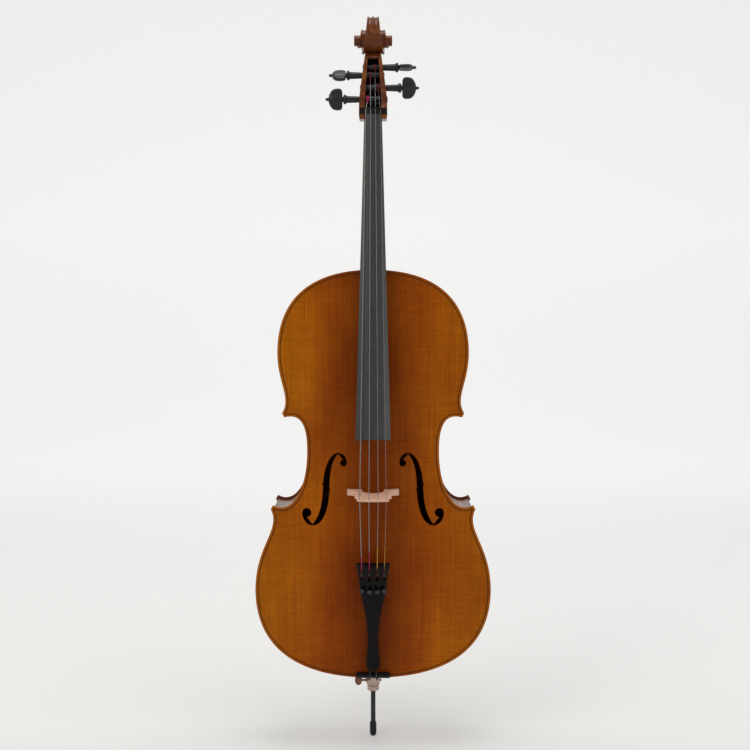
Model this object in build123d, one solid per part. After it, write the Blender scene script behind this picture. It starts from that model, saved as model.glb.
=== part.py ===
from build123d import *
import math
import os

os.makedirs("parts", exist_ok=True)

# A full-size cello, in millimetres. +Z is up, the front faces -Y, and +X is the treble side.
# The origin is the bottom of the endpin's rubber tip. Y = 0 is the middle plane of the ribs.

# Sound box
BODY_BOTTOM = 131.0
BODY_LENGTH = 755.0
BODY_TOP = BODY_BOTTOM + BODY_LENGTH
RIB_HEIGHT = 118.0
PLATE_EDGE = 4.5
TOP_ARCH = 21.5
BACK_ARCH = 23.0
ARCH_DIP = 1.2           # how far the arching surface runs below the flat border
OVERHANG = 4.0
RIB_THICKNESS = 1.5
LINING_WIDTH = 3.0
LINING_HEIGHT = 18.0
PURFLING_INSET = 4.3
PURFLING_WIDTH = 1.4
PURFLING_DEPTH = 1.5
RIB_FRONT = -RIB_HEIGHT / 2
RIB_BACK = RIB_HEIGHT / 2
TOP_FACE = RIB_FRONT - PLATE_EDGE
BACK_FACE = RIB_BACK + PLATE_EDGE
INSIDE_INSET = OVERHANG + RIB_THICKNESS
BUTTON_RADIUS = 17.0

# Half outline of the plates, as cubic curves and straight corner ends: (half width, height).
OUTLINE = [
    [(0, 0), (160, 0), (217.5, 72), (217.5, 165)],
    [(217.5, 165), (217.5, 247), (169, 278), (188.5, 315)],
    [(188.5, 315), (184.3, 323)],
    [(184.3, 323), (152, 303), (121, 348), (121, 424)],
    [(121, 424), (121, 468), (131, 494), (163, 485)],
    [(163, 485), (167, 493)],
    [(167, 493), (149, 521), (175, 548), (175, 603)],
    [(175, 603), (175, 695), (122, 755), (0, 755)],
]
# Each corner's tip and the inward direction of its mitre.
LOWER_CORNER = (186.4, 319.0, -0.68, -0.73)
UPPER_CORNER = (165.0, 489.0, -0.93, 0.36)
CORNER_BLOCK = 40.0
NECK_BLOCK_HALF = 40.0
NECK_BLOCK_HEIGHT = 44.0
END_BLOCK_HALF = 38.0
END_BLOCK_HEIGHT = 36.0

# Treble f-hole: (half width, height) of its curves and eyes.
F_OUTER = [
    [(48.1, 405), (48.1, 413.8), (55.1, 421.1), (63.8, 421.1)],
    [(63.8, 421.1), (77.8, 421.1), (90.5, 395.1), (92, 361.1)],
    [(92, 361.1), (92.9, 327), (97.6, 305.8), (111.1, 288.8)],
]
F_LOWER_WING = [(111.1, 288.8), (121.4, 300)]
F_LOWER_EYE = (122.0, 309.6, 8.0)
F_LOWER_HOOK = [(130.5, 309.6), (130.5, 297.6), (123, 286.2), (111.3, 286.2)]
F_INNER = [
    [(111.3, 286.2), (90.3, 286.2), (80.3, 321.1), (80.0, 356.4)],
    [(80.0, 356.4), (79.7, 384.5), (76.1, 405.6), (63.8, 418.7)],
]
F_UPPER_WING = [(63.8, 418.7), (54.9, 408.5)]
F_UPPER_EYE = (54.2, 402.3, 6.1)

# Fingerboard and neck, in a frame tilted back by NECK_TILT about the board at the body's edge
NECK_TILT = 10.0
BOARD_RISE = 32.0
BOARD_LOW = -306.0
BOARD_HIGH = 288.0
BOARD_HALF_LOW = 31.2
BOARD_HALF_HIGH = 16.0
BOARD_RADIUS_LOW = 64.0
BOARD_RADIUS_HIGH = 58.0
BOARD_THICK_LOW = 15.0
BOARD_THICK_HIGH = 9.5
NUT_LENGTH = 11.5
NUT_RISE = 1.2
NECK_BACK_HIGH = 28.0
NECK_BACK_LOW = 31.0
HEEL_BOTTOM = BODY_TOP - 13.0
HEEL_HALF_FRONT = 21.5
HEEL_HALF_BACK = 16.5

# Pegbox and scroll, as (Y, Z)
PEGBOX_FRONT = [(-45, 1162), (-41.8, 1181), (-5, 1279)]
PEGBOX_BACK = [(57, 1322), (52, 1298), (38, 1279), (23, 1255), (12, 1215), (-2, 1172), (-20, 1159)]
PEGBOX_WIDTHS = [(26, 1155), (26, 1196), (16, 1279), (11, 1340)]
CAVITY_WIDTHS = [(15.4, 1175), (14.4, 1201), (10, 1274)]
CAVITY_FLOOR = [(-38, 1178), (-24, 1183), (-8, 1189), (11, 1252), (15, 1268), (4, 1274), (-30, 1274)]
SCROLL_CYLINDERS = [(24, 1325, 33, 12), (21, 1317, 25, 19), (24, 1316, 17, 22.5), (24, 1313, 7.5, 35.5)]

# Pegs: centre (Y, Z), side of the head, width the head is turned to, winding centre, string size
PEG_SHAFT = 5.7
PEG_FIT = 0.05
PEG_REACH = 23.5
PEG_COLLAR = 8.85
PEG_COLLAR_LENGTH = 5.0
PEG_HEAD_LENGTH = 28.0
PEG_HEAD_HALF = 20.0
PEG_HEAD_THICK = 13.0
PIP_RADIUS = 3.0
PEGS = {
    "c": dict(y=-20.5, z=1198.5, side=-1, turn=90.0, wind=-10.2),
    "a": dict(y=-13.0, z=1220.5, side=1, turn=72.0, wind=9.2),
    "g": dict(y=-2.5, z=1245.0, side=-1, turn=33.0, wind=-5.4),
    "d": dict(y=3.0, z=1260.5, side=1, turn=0.0, wind=3.4),
}
WINDING_LENGTH = 6.4

# Strings: radius, X at the nut, at the bridge and at the tailpiece
STRINGS = {
    "c": dict(r=0.85, nut=-13.0, bridge=-23.4, tail=-20.4),
    "g": dict(r=0.70, nut=-4.4, bridge=-7.2, tail=-6.6),
    "d": dict(r=0.55, nut=4.4, bridge=9.0, tail=7.4),
    "a": dict(r=0.40, nut=13.0, bridge=23.4, tail=20.4),
}
WINDING_GAP = 0.6

# Bridge: the front face height is measured from the top's edge face
BRIDGE_Z = 479.5
BRIDGE_TOP = 112.5
BRIDGE_RADIUS = 63.0
BRIDGE_SIDE = [(-50, 475.3), (-182, 478.1), (-182, 480.9), (-50, 488.7)]
BRIDGE_TOP_HALF = 28.0
BRIDGE_OUTLINE = [
    (27.5, 97), (21.5, 89), (22, 80), (30, 75), (33, 67), (28, 61),
    (27.5, 52), (33, 38), (38, 29), (46.5, 24), (47.2, 10),
]
BRIDGE_FOOT_INNER = 19.8
BRIDGE_ARCH_TOP = 53.0
HEART_HEIGHT = 84.0
HEART_RADIUS = 6.5
SOUND_POST = (36.0, 466.0, 5.5)
BASS_BAR_X = (-36.0, -25.5)
BASS_BAR_SIDE = [(-110, 215), (-63, 215), (-56, 330), (-55, 480), (-57, 640), (-63, 790), (-110, 790)]

# Tailpiece, in a frame tilted forward along the strings' after-length
TAIL_TOP_Z = 356.0
TAIL_TILT = 16.7
TAIL_SLOPE = math.tan(math.radians(TAIL_TILT))
TAIL_OUTLINE = [(30.5, 0), (22, 62), (12.2, 113), (9.4, 150), (11.2, 188), (12.6, 210), (7.5, 219)]
TAIL_RADIUS_TOP = 48.0
TAIL_RADIUS_BOTTOM = 22.0
TAIL_THICK_TOP = 15.0
TAIL_THICK_BOTTOM = 11.0
TAIL_LENGTH = 219.0
FRET_AT = 4.0
SLOT_FROM = 9.0
SLOT_TO = 31.0
SLOT_WIDTH = 5.2
PIVOT_AT = 24.0
PIVOT_DEPTH = 11.5
PIVOT_RADIUS = 1.25
SCREW_AT = 48.0
SCREW_RADIUS = 1.5
SCREW_HEAD = 4.7
SCREW_HEAD_LENGTH = 6.5
POCKET = [(27.6, -5), (23.2, -53), (-23.2, -53), (-27.6, -5)]
LEVER_WIDTH = 3.6
LEVER_THICK = 2.6
BALL_RADIUS = 1.65
BALL_WIDTH = 3.2
LEVER_FROM = 14.5
FORK_LENGTH = 3.0
FORK_NOTCH_HALF = 0.9
FORK_RISE = 0.6
HEAD_GAP = 2.4

# Saddle, tail cord and endpin
SADDLE_HALF = 30.8
SADDLE_SIDE = [(-59, 132.6), (-70, 132.6), (-73.6, 136), (-73.6, 138.5), (-68, 142), (-59, 142)]
CORD_RADIUS = 1.5
ROD_RADIUS = 4.5
ROD_TOP = 500.0
TIP_RADIUS = 6.3
TIP_TOP = 27.6
COLLAR_BOTTOM = 89.4
COLLAR_STEP = 100.1
COLLAR_RADIUS = 13.5
COLLAR_LOW_RADIUS = 11.5
COLLAR_NECK = 10.0
COLLAR_FLANGE = 130.6
PLUG_RADIUS = 13.0
PLUG_TOP = 176.0
SLIDE_FIT = 0.05
THUMBSCREW_Z = 107.5
THUMBSCREW_RADIUS = 3.0
LEAF_OFFSET = 14.5
LEAF_HALF_WIDTH = 7.0
LEAF_HALF_HEIGHT = 10.0
LEAF_HALF_THICK = 2.0
SET_SCREW_RADIUS = 2.5
COLLAR_NECK_LENGTH = 4.4


def point(x, height):
    """A point of the body's outline plane, from its half width and height above the body's bottom."""
    return (x, 0, height + BODY_BOTTOM)


def curve(points, side=1):
    """A straight line or a cubic curve, on the treble side (1) or mirrored to the bass side (-1)."""
    placed = [point(side * x, height) for x, height in points]
    if len(placed) == 2:
        return Line(*placed)
    return Bezier(*placed)


def prism_y(face, start, end):
    """A face of an XZ plane pushed along Y from start to end."""
    return Pos(0, start, 0) * Solid.extrude(face, Vector(0, end - start, 0))


def polygon_y(points, start, end):
    """A polygon of (X, Z) points pushed along Y."""
    face = Face(Wire.make_polygon([(x, 0, z) for x, z in points], close=True))
    return prism_y(face, start, end)


def polygon_x(points, half):
    """A polygon of (Y, Z) points pushed along X, half to each side."""
    face = Face(Wire.make_polygon([(-half, y, z) for y, z in points], close=True))
    return Solid.extrude(face, Vector(2 * half, 0, 0))


def block(x0, x1, y0, y1, z0, z1):
    """A box between two corners."""
    box = Box(x1 - x0, y1 - y0, z1 - z0)
    return Pos((x0 + x1) / 2, (y0 + y1) / 2, (z0 + z1) / 2) * box


def rod_x(y, z, radius, x0, x1):
    """A round bar along X."""
    return Pos((x0 + x1) / 2, y, z) * Rot(0, 90, 0) * Cylinder(radius, x1 - x0)


def rod_z(radius, z0, z1):
    """A round bar on the endpin's axis."""
    return Pos(0, 0, (z0 + z1) / 2) * Cylinder(radius, z1 - z0)


def rod_y(x, z, radius, y0, y1):
    """A round bar along Y."""
    return Pos(x, (y0 + y1) / 2, z) * Rot(90, 0, 0) * Cylinder(radius, y1 - y0)


def save(shape, name):
    """Write the solids of one piece."""
    solids = shape.solids()
    result = solids[0] if len(solids) == 1 else Compound(solids)
    export_step(result, f"parts/{name}.step")


def halves(shape):
    """The bass and treble halves of a plate, which meet on the centre joint."""
    wide = 600
    bass = shape & block(-wide, 0, -wide, wide, 0, 3 * wide)
    treble = shape & block(0, wide, -wide, wide, 0, 3 * wide)
    return {"bass": bass, "treble": treble}


# Plate outline and its insets

treble_outline = [curve(part) for part in OUTLINE]
bass_outline = [curve(part[::-1], -1) for part in OUTLINE[::-1]]
OUTLINE_FACE = Face(Wire(treble_outline + bass_outline))


def inset(amount):
    """The outline drawn in by some millimetres, with its parallel curves redrawn as splines."""
    face = offset(OUTLINE_FACE, amount=-amount, kind=Kind.INTERSECTION).faces()[0]
    edges = []
    for edge in face.outer_wire().edges():
        if edge.geom_type == GeomType.LINE:
            edges.append(edge)
            continue
        steps = max(3, round(edge.length / 25))
        points = [edge @ (step / steps) for step in range(steps + 1)]
        edges.append(Spline(*points, tangents=[edge % 0, edge % 1]))
    return Face(Wire(edges))


def ring(outer, inner, start, end):
    """A band that follows the outline between two insets."""
    return prism_y(inset(outer), start, end) - prism_y(inset(inner), start - 1, end + 1)


# Arching

def arch_half_width(height):
    """Half width of the arched field, which runs past the corners without following them."""
    low, waist, high = 208.0, 112.0, 166.0
    to_waist = 1 / (1 + math.exp(-(height - 300) / 22))
    to_upper = 1 / (1 + math.exp(-(height - 515) / 20))
    width = low + (waist - low) * to_waist + (high - waist) * to_upper
    low_end = max(0.0, min(1.0, (height - 12) / 150))
    high_end = max(0.0, min(1.0, (BODY_LENGTH - 12 - height) / 150))
    ends = math.sqrt(1 - (1 - low_end) ** 2.2) * math.sqrt(1 - (1 - high_end) ** 2.2)
    return max(8.0, width * ends)


def arch_height(x, height, rise):
    """Height of the arching over the flat border."""
    along = (height - 377) / 365
    crest = (rise + ARCH_DIP) * max(0.0, 1 - abs(along) ** 3)
    across = math.cos(math.pi / 2 * min(1.0, abs(x) / arch_half_width(height))) ** 2
    return crest * across - ARCH_DIP


def arch_surface(rise, face_y, toward):
    """The arched outer face of a plate, on a net of points; toward is -1 at the front, 1 at the back."""
    columns, rows = 25, 45
    net = []
    for row in range(rows):
        height = -12 + 779 * row / (rows - 1)
        line = []
        for column in range(columns):
            x = -228 + 456 * column / (columns - 1)
            line.append((x, face_y + toward * arch_height(x, height, rise), BODY_BOTTOM + height))
        net.append(line)
    return Face.make_surface_from_array_of_points(net, tol=0.05)


def under_arch(rise, face_y, toward, deep=70.0):
    """The space behind an arched face, toward the middle of the sound box."""
    surface = arch_surface(rise, face_y, toward)
    return Solid.extrude(surface, Vector(0, -toward * deep, 0))


def arched_plate(rise, rib_y, toward):
    """A plate with a flat border, an arched middle and an even thickness."""
    face_y = rib_y + toward * PLATE_EDGE
    keep = prism_y(OUTLINE_FACE, *sorted((rib_y, rib_y + toward * 60)))
    bulk = under_arch(rise, face_y, toward) & keep
    border = prism_y(OUTLINE_FACE, *sorted((rib_y, face_y)))
    hollow = under_arch(rise, rib_y, toward) & keep
    return (bulk + border) - hollow


def waist_zone(side):
    """The space beside the waist, cut along the mitres of the two corners."""
    def along(corner, reach):
        x, z, dx, dz = corner
        return (side * (x + dx * reach), z + dz * reach + BODY_BOTTOM)
    middle = [(140, 280), (60, 400), (118, 520)]
    points = [along(LOWER_CORNER, -16), along(LOWER_CORNER, 24)]
    points += [(side * x, z + BODY_BOTTOM) for x, z in middle]
    points += [along(UPPER_CORNER, 24), along(UPPER_CORNER, -16), (side * 250, 405 + BODY_BOTTOM)]
    return polygon_y(points, -70, 70)


def bout_strips(band):
    """A band that follows the outline, cut into the six strips that a luthier bends."""
    strips = {}
    for name, side in (("bass", -1), ("treble", 1)):
        half = band & block(*sorted((0, side * 300)), -70, 70, 0, 1000)
        waist = waist_zone(side)
        rest = half - waist
        strips[f"waist_{name}"] = half & waist
        strips[f"lower_{name}"] = rest & block(-300, 300, -70, 70, 0, 405 + BODY_BOTTOM)
        strips[f"upper_{name}"] = rest & block(-300, 300, -70, 70, 405 + BODY_BOTTOM, 1000)
    return strips


# Neck, pegbox and scroll

NECK_FRAME = Location((0, TOP_FACE - BOARD_RISE, BODY_TOP), (-NECK_TILT, 0, 0))


def board_section(position, half, radius, thick):
    """A cross-section of the fingerboard, with a round front."""
    drop = radius - math.sqrt(radius ** 2 - half ** 2)
    edges = [
        ThreePointArc((-half, drop), (0, 0), (half, drop)),
        Line((half, drop), (half, thick)),
        Line((half, thick), (-half, thick)),
        Line((-half, thick), (-half, drop)),
    ]
    return Pos(0, 0, position) * Face(Wire(edges))


def make_fingerboard():
    """The ebony board, hollowed under its free end."""
    low = board_section(BOARD_LOW, BOARD_HALF_LOW, BOARD_RADIUS_LOW, BOARD_THICK_LOW)
    high = board_section(BOARD_HIGH, BOARD_HALF_HIGH, BOARD_RADIUS_HIGH, BOARD_THICK_HIGH)
    scoop = Pos(0, 44, (BOARD_LOW - 40) / 2 - 5) * Cylinder(37, 290)
    return NECK_FRAME * (loft([low, high]) - scoop)


def neck_section(position, half, back):
    """A round-backed cross-section of the neck below the board."""
    share = (position - BOARD_LOW) / (BOARD_HIGH - BOARD_LOW)
    glue = BOARD_THICK_LOW + (BOARD_THICK_HIGH - BOARD_THICK_LOW) * share
    edges = [
        Line((-half, glue), (half, glue)),
        EllipticalCenterArc((0, glue), half, back - glue, 0, arc_size=180),
    ]
    return Pos(0, 0, position) * Face(Wire(edges))


def heel_block(grow=0.0):
    """The wedge of the heel seen from above, which the neck block's mortise follows."""
    front = HEEL_HALF_FRONT + grow
    back = HEEL_HALF_BACK + grow
    corners = [(-front, -100), (front, -100), (back, RIB_BACK), (-back, RIB_BACK)]
    base = Face(Wire.make_polygon([(x, y, HEEL_BOTTOM - grow) for x, y in corners], close=True))
    return Solid.extrude(base, Vector(0, 0, 130))


def make_heel():
    """The heel, from the board's underside back to the button."""
    glue_low = NECK_FRAME * Pos(0, 12, -14)
    glue_high = NECK_FRAME * Pos(0, 11, 80)
    neck_back = NECK_FRAME * Pos(0, NECK_BACK_LOW - 1, 90)
    front_corner = (0, glue_high.position.Y, glue_high.position.Z)
    back_corner = (0, neck_back.position.Y, neck_back.position.Z)
    button = (RIB_BACK, BODY_TOP + BUTTON_RADIUS - 1)
    edges = [
        Line(front_corner, (0, glue_low.position.Y, HEEL_BOTTOM)),
        Line((0, glue_low.position.Y, HEEL_BOTTOM), (0, RIB_BACK, HEEL_BOTTOM)),
        Line((0, RIB_BACK, HEEL_BOTTOM), (0, *button)),
        Bezier(
            (0, *button), (0, 12, button[1] + 2), (0, back_corner[1] - 12, back_corner[2] - 55), back_corner,
        ),
        Line(back_corner, front_corner),
    ]
    side = Pos(-40, 0, 0) * Solid.extrude(Face(Wire(edges)), Vector(80, 0, 0))
    return side & heel_block()


def make_pegbox():
    """The pegbox with its open cavity."""
    corners = PEGBOX_FRONT + [(14, 1300), (20, 1335)]
    front = Polyline(*[(0, y, z) for y, z in corners + PEGBOX_BACK[:1]])
    back = Spline(*[(0, y, z) for y, z in PEGBOX_BACK])
    floor = Line((0, *PEGBOX_BACK[-1]), (0, *PEGBOX_FRONT[0]))
    side = Pos(-40, 0, 0) * Solid.extrude(Face(Wire([*front.edges(), back, floor])), Vector(80, 0, 0))
    widths = PEGBOX_WIDTHS + [(-x, z) for x, z in PEGBOX_WIDTHS[::-1]]
    body = side & polygon_y(widths, -80, 90)
    opening = CAVITY_WIDTHS + [(-x, z) for x, z in CAVITY_WIDTHS[::-1]]
    cavity = polygon_y(opening, -80, 90) & polygon_x([(-80, 1178)] + CAVITY_FLOOR + [(-80, 1274)], 40)
    return body - cavity


def make_scroll():
    """The volute, as turns that grow wider towards the eye."""
    turns = [rod_x(y, z, radius, -half, half) for y, z, radius, half in SCROLL_CYLINDERS]
    return turns[0] + turns[1] + turns[2] + turns[3]


def peg_hole(peg):
    """The hole of one peg through both cheeks."""
    return rod_x(peg["y"], peg["z"], PEG_SHAFT + PEG_FIT, -60, 60)


def make_neck(board, nut, strings):
    """Heel, neck, pegbox and scroll, carved from one piece."""
    low = neck_section(10, 20.5, NECK_BACK_LOW)
    high = neck_section(BOARD_HIGH + 8, 15.6, NECK_BACK_HIGH)
    shaft = NECK_FRAME * loft([low, high])
    neck = shaft + make_heel() + make_pegbox() + make_scroll()
    neck = neck - board - nut
    for string in strings.values():
        neck = neck - string
    for peg in PEGS.values():
        neck = neck - peg_hole(peg)
    return neck


def make_nut(board, strings):
    """The ebony nut, with shoulders as wide as the pegbox and a groove for each string."""
    end = BOARD_HIGH + NUT_LENGTH
    half = BOARD_HALF_HIGH
    radius = BOARD_RADIUS_HIGH
    drop = radius - math.sqrt(radius ** 2 - half ** 2)
    edges = [
        ThreePointArc((-half, drop - NUT_RISE), (0, -NUT_RISE), (half, drop - NUT_RISE)),
        Line((half, drop - NUT_RISE), (half, BOARD_THICK_HIGH)),
        Line((half, BOARD_THICK_HIGH), (-half, BOARD_THICK_HIGH)),
        Line((-half, BOARD_THICK_HIGH), (-half, drop - NUT_RISE)),
    ]
    middle = Pos(0, 0, BOARD_HIGH) * Solid.extrude(Face(Wire(edges)), Vector(0, 0, NUT_LENGTH))
    shoulders = block(-25.5, 25.5, 1.2, 8.0, BOARD_HIGH - 1, end)
    slit = block(-half, half, -5, 20, BOARD_HIGH - 3, BOARD_HIGH)
    nut = NECK_FRAME * (middle + (shoulders - slit)) - board
    for string in strings.values():
        nut = nut - string
    return nut


# Strings and pegs

def string_route(name):
    """The centre line of a string, from the tailpiece over the bridge and the nut into the pegbox."""
    string = STRINGS[name]
    peg = PEGS[name]
    lift = string["r"] * 0.5
    tail = TAIL_FRAME * Pos(string["tail"], tail_surface(string["tail"]) - lift, -FRET_AT)
    fork = TAIL_FRAME * Pos(string["tail"], tail_surface(string["tail"]) + 1.4, -(SLOT_FROM + 1.2))
    x = string["bridge"]
    drop = BRIDGE_RADIUS - math.sqrt(BRIDGE_RADIUS ** 2 - x ** 2)
    bridge = (x, TOP_FACE - BRIDGE_TOP + drop + 1.0, BRIDGE_Z)
    x = string["nut"]
    drop = BOARD_RADIUS_HIGH - math.sqrt(BOARD_RADIUS_HIGH ** 2 - x ** 2)
    nut = NECK_FRAME * Pos(x, drop - NUT_RISE - lift * 0.4, BOARD_HIGH + NUT_LENGTH / 2)
    ny, nz = nut.position.Y, nut.position.Z
    reach = math.hypot(peg["y"] - ny, peg["z"] - nz)
    tangent = PEG_SHAFT + string["r"]
    whole = math.sqrt(reach ** 2 - tangent ** 2)
    length = whole - math.sqrt((PEG_SHAFT + 2 * string["r"]) ** 2 - PEG_SHAFT ** 2) - WINDING_GAP
    angle = math.atan2(peg["z"] - nz, peg["y"] - ny) + math.asin(tangent / reach)
    share = length / whole
    end = (
        nut.position.X + (peg["wind"] - nut.position.X) * share,
        ny + math.cos(angle) * length,
        nz + math.sin(angle) * length,
    )
    return [tuple(fork.position), tuple(tail.position), bridge, tuple(nut.position), end]


def make_string(name):
    """One string, as straight round runs that bend over the tailpiece's edge, the bridge and the nut."""
    route = string_route(name)
    radius = STRINGS[name]["r"]
    path = Polyline(*route)
    start = Plane(origin=route[0], z_dir=Vector(*route[1]) - Vector(*route[0]))
    return sweep(start * Circle(radius), path, transition=Transition.ROUND)


def make_winding(name):
    """The turns of a string round its peg."""
    peg = PEGS[name]
    outer = PEG_SHAFT + 2 * STRINGS[name]["r"]
    x0 = peg["wind"] - WINDING_LENGTH / 2
    x1 = peg["wind"] + WINDING_LENGTH / 2
    tube = rod_x(peg["y"], peg["z"], outer, x0, x1)
    return tube - rod_x(peg["y"], peg["z"], PEG_SHAFT, x0 - 1, x1 + 1)


def cheek_half(z):
    """Half the pegbox's outer width at a height."""
    (x0, z0), (x1, z1) = PEGBOX_WIDTHS[1:3]
    return x0 + (x1 - x0) * max(0.0, (z - z0) / (z1 - z0))


def make_peg(name):
    """A peg with its shaft, collar and heart-shaped head, drawn with the head towards +X."""
    peg = PEGS[name]
    cheek = cheek_half(peg["z"])
    collar = cheek + PEG_REACH
    head = collar + PEG_COLLAR_LENGTH
    shaft = rod_x(0, 0, PEG_SHAFT, -cheek - 1.0, collar)
    ring_part = rod_x(0, 0, PEG_COLLAR, collar, head)
    half = PEG_HEAD_HALF
    long = PEG_HEAD_LENGTH
    upper = [
        Bezier((head, 0, 3), (head - 1, 0, 12), (head + 2, 0, half), (head + 13, 0, half)),
        Bezier((head + 13, 0, half), (head + 24, 0, half), (head + long, 0, 10), (head + long, 0, 0)),
    ]
    lower = [mirror(part, about=Plane.XY) for part in upper]
    waist = Line((head, 0, 3), (head, 0, -3))
    heart = Face(Wire([*upper, *[part.edge() for part in lower], waist]))
    leaf = prism_y(heart, -PEG_HEAD_THICK / 2, PEG_HEAD_THICK / 2)
    hub = rod_x(0, 0, PEG_SHAFT, head, head + 8)
    whole = shaft + ring_part + leaf + hub
    pip = Pos(head + long + PIP_RADIUS - 0.6, 0, 0) * Sphere(PIP_RADIUS)
    facing = Rot(0, 0, 0 if peg["side"] > 0 else 180)
    placed = Pos(0, peg["y"], peg["z"]) * facing * Rot(90 - peg["turn"], 0, 0)
    return placed * whole, placed * (pip - whole)


# Tailpiece and fine tuners

TAIL_Y = TOP_FACE - BRIDGE_TOP + 1.0 + (BRIDGE_Z - TAIL_TOP_Z) * TAIL_SLOPE
TAIL_FRAME = Location((0, TAIL_Y, TAIL_TOP_Z), (TAIL_TILT, 0, 0))


def tail_surface(x):
    """Depth of the tailpiece's round front below its crest, near the top."""
    return TAIL_RADIUS_TOP - math.sqrt(TAIL_RADIUS_TOP ** 2 - x ** 2)


def tail_section(position, half, radius, thick):
    """A cross-section with a round front and a flat back."""
    drop = radius - math.sqrt(radius ** 2 - half ** 2)
    edges = [
        ThreePointArc((-half, drop), (0, 0), (half, drop)),
        Line((half, drop), (half, thick)),
        Line((half, thick), (-half, thick)),
        Line((-half, thick), (-half, drop)),
    ]
    return Pos(0, 0, -position) * Face(Wire(edges))


def make_tailpiece():
    """The tailpiece: waisted outline, round front, slots and a pocket for the tuners."""
    right = Spline(*[(x, 0, -s) for x, s in TAIL_OUTLINE])
    left = Spline(*[(-x, 0, -s) for x, s in TAIL_OUTLINE])
    top = Line((30.5, 0, 0), (-30.5, 0, 0))
    bottom = Line((7.5, 0, -TAIL_LENGTH), (-7.5, 0, -TAIL_LENGTH))
    shape = prism_y(Face(Wire([right, bottom, left, top])), -5, 30)
    high = tail_section(-1, 33, TAIL_RADIUS_TOP, TAIL_THICK_TOP)
    low = tail_section(TAIL_LENGTH + 1, 17, TAIL_RADIUS_BOTTOM, TAIL_THICK_BOTTOM)
    body = shape & loft([high, low])
    body = body - polygon_y(POCKET, 9.0, 40)
    for string in STRINGS.values():
        x = string["tail"]
        body = body - block(x - SLOT_WIDTH / 2, x + SLOT_WIDTH / 2, -5, 40, -SLOT_TO, -SLOT_FROM)
        body = body - Pos(x, 0, -SCREW_AT) * Rot(90, 0, 0) * Cylinder(SCREW_RADIUS + 0.05, 60)
    return body


def make_lever(x):
    """A tuner lever: a fork through the slot, and an arm that runs back under the screw."""
    top = tail_surface(x)
    half = LEVER_WIDTH / 2
    low, high = PIVOT_DEPTH - LEVER_THICK / 2, PIVOT_DEPTH + LEVER_THICK / 2
    fork_end = -LEVER_FROM - FORK_LENGTH
    arm = block(x - half, x + half, low, high, -SCREW_AT - 2, -PIVOT_AT)
    post = block(x - half, x + half, top - FORK_RISE, PIVOT_DEPTH, fork_end, -LEVER_FROM)
    foot = block(x - half, x + half, low, high, -PIVOT_AT, -LEVER_FROM)
    slit = (x - FORK_NOTCH_HALF, x + FORK_NOTCH_HALF)
    notch = block(*slit, top - 2, top + 3.2, fork_end - 1.5, -LEVER_FROM + 1.5)
    boss = Pos(x, PIVOT_DEPTH, -PIVOT_AT) * Rot(0, 90, 0) * Cylinder(PIVOT_RADIUS + 1.6, LEVER_WIDTH)
    hole = Pos(x, PIVOT_DEPTH, -PIVOT_AT) * Rot(0, 90, 0) * Cylinder(PIVOT_RADIUS + 0.05, LEVER_WIDTH + 2)
    return TAIL_FRAME * (arm + post + foot + boss - notch - hole)


def make_ball(x):
    """The ball end of a string, held behind the fork."""
    top = tail_surface(x)
    where = Pos(x, top + 1.4, -LEVER_FROM - FORK_LENGTH - BALL_RADIUS)
    return TAIL_FRAME * where * Rot(0, 90, 0) * Cylinder(BALL_RADIUS, BALL_WIDTH)


def make_tuner_screw(x):
    """A tuner screw with its round head, standing on the tailpiece's front."""
    top = tail_surface(x)
    point_depth = PIVOT_DEPTH - LEVER_THICK / 2 - 0.1
    head_depth = top - HEAD_GAP
    upright = Rot(90, 0, 0)
    length = point_depth - head_depth + 1
    stem = Pos(x, point_depth - length / 2, -SCREW_AT) * upright * Cylinder(SCREW_RADIUS, length)
    head_middle = head_depth - SCREW_HEAD_LENGTH / 2
    head = Pos(x, head_middle, -SCREW_AT) * upright * Cylinder(SCREW_HEAD, SCREW_HEAD_LENGTH)
    return TAIL_FRAME * (stem + head)


def make_cord(back_radius):
    """The tail cord: a loop from the tailpiece, over the saddle and round the endpin collar's neck."""
    hook = TAIL_FRAME * Pos(4.5, 7.0, -TAIL_LENGTH + 12)
    edge = TAIL_FRAME * Pos(5.0, 5.4, -TAIL_LENGTH - 3)
    side = [
        tuple(hook.position),
        tuple(edge.position),
        (6.2, -74.2, BODY_BOTTOM + 7.0),
        (7.2, -68.8, BODY_BOTTOM - 2.2),
        (8.6, -58.0, BODY_BOTTOM - 1.6),
        (back_radius, -10.0, COLLAR_FLANGE + CORD_RADIUS),
    ]
    turn = [
        (back_radius, 0, COLLAR_FLANGE + CORD_RADIUS),
        (0, back_radius, COLLAR_FLANGE + CORD_RADIUS),
        (-back_radius, 0, COLLAR_FLANGE + CORD_RADIUS),
    ]
    other = [(-x, y, z) for x, y, z in side[::-1]]
    right = FilletPolyline(*side, radius=[6, 5, 4, 20])
    run = Line(side[-1], turn[0])
    arc = ThreePointArc(*turn)
    left = FilletPolyline(*other, radius=[20, 4, 5, 6])
    back = Line(turn[-1], other[0])
    path = Wire([*right.edges(), run, arc, back, *left.edges()])
    start = Plane(origin=side[0], z_dir=Vector(*side[1]) - Vector(*side[0]))
    return sweep(start * Circle(CORD_RADIUS), path, transition=Transition.RIGHT)


def f_hole(side):
    """One f-hole, cut through the top."""
    edges = [curve(part, side) for part in F_OUTER]
    edges += [curve(F_LOWER_WING, side)]
    edges += [curve([F_LOWER_WING[1], F_LOWER_HOOK[0]], side)]
    edges += [curve(F_LOWER_HOOK, side)]
    edges += [curve(part, side) for part in F_INNER]
    edges += [curve(F_UPPER_WING, side), curve([F_UPPER_WING[1], F_OUTER[0][0]], side)]
    hole = prism_y(Face(Wire(edges)), -110, RIB_FRONT)
    for x, z, radius in (F_UPPER_EYE, F_LOWER_EYE):
        hole = hole + rod_y(side * x, z + BODY_BOTTOM, radius, -110, RIB_FRONT)
    return hole


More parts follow.
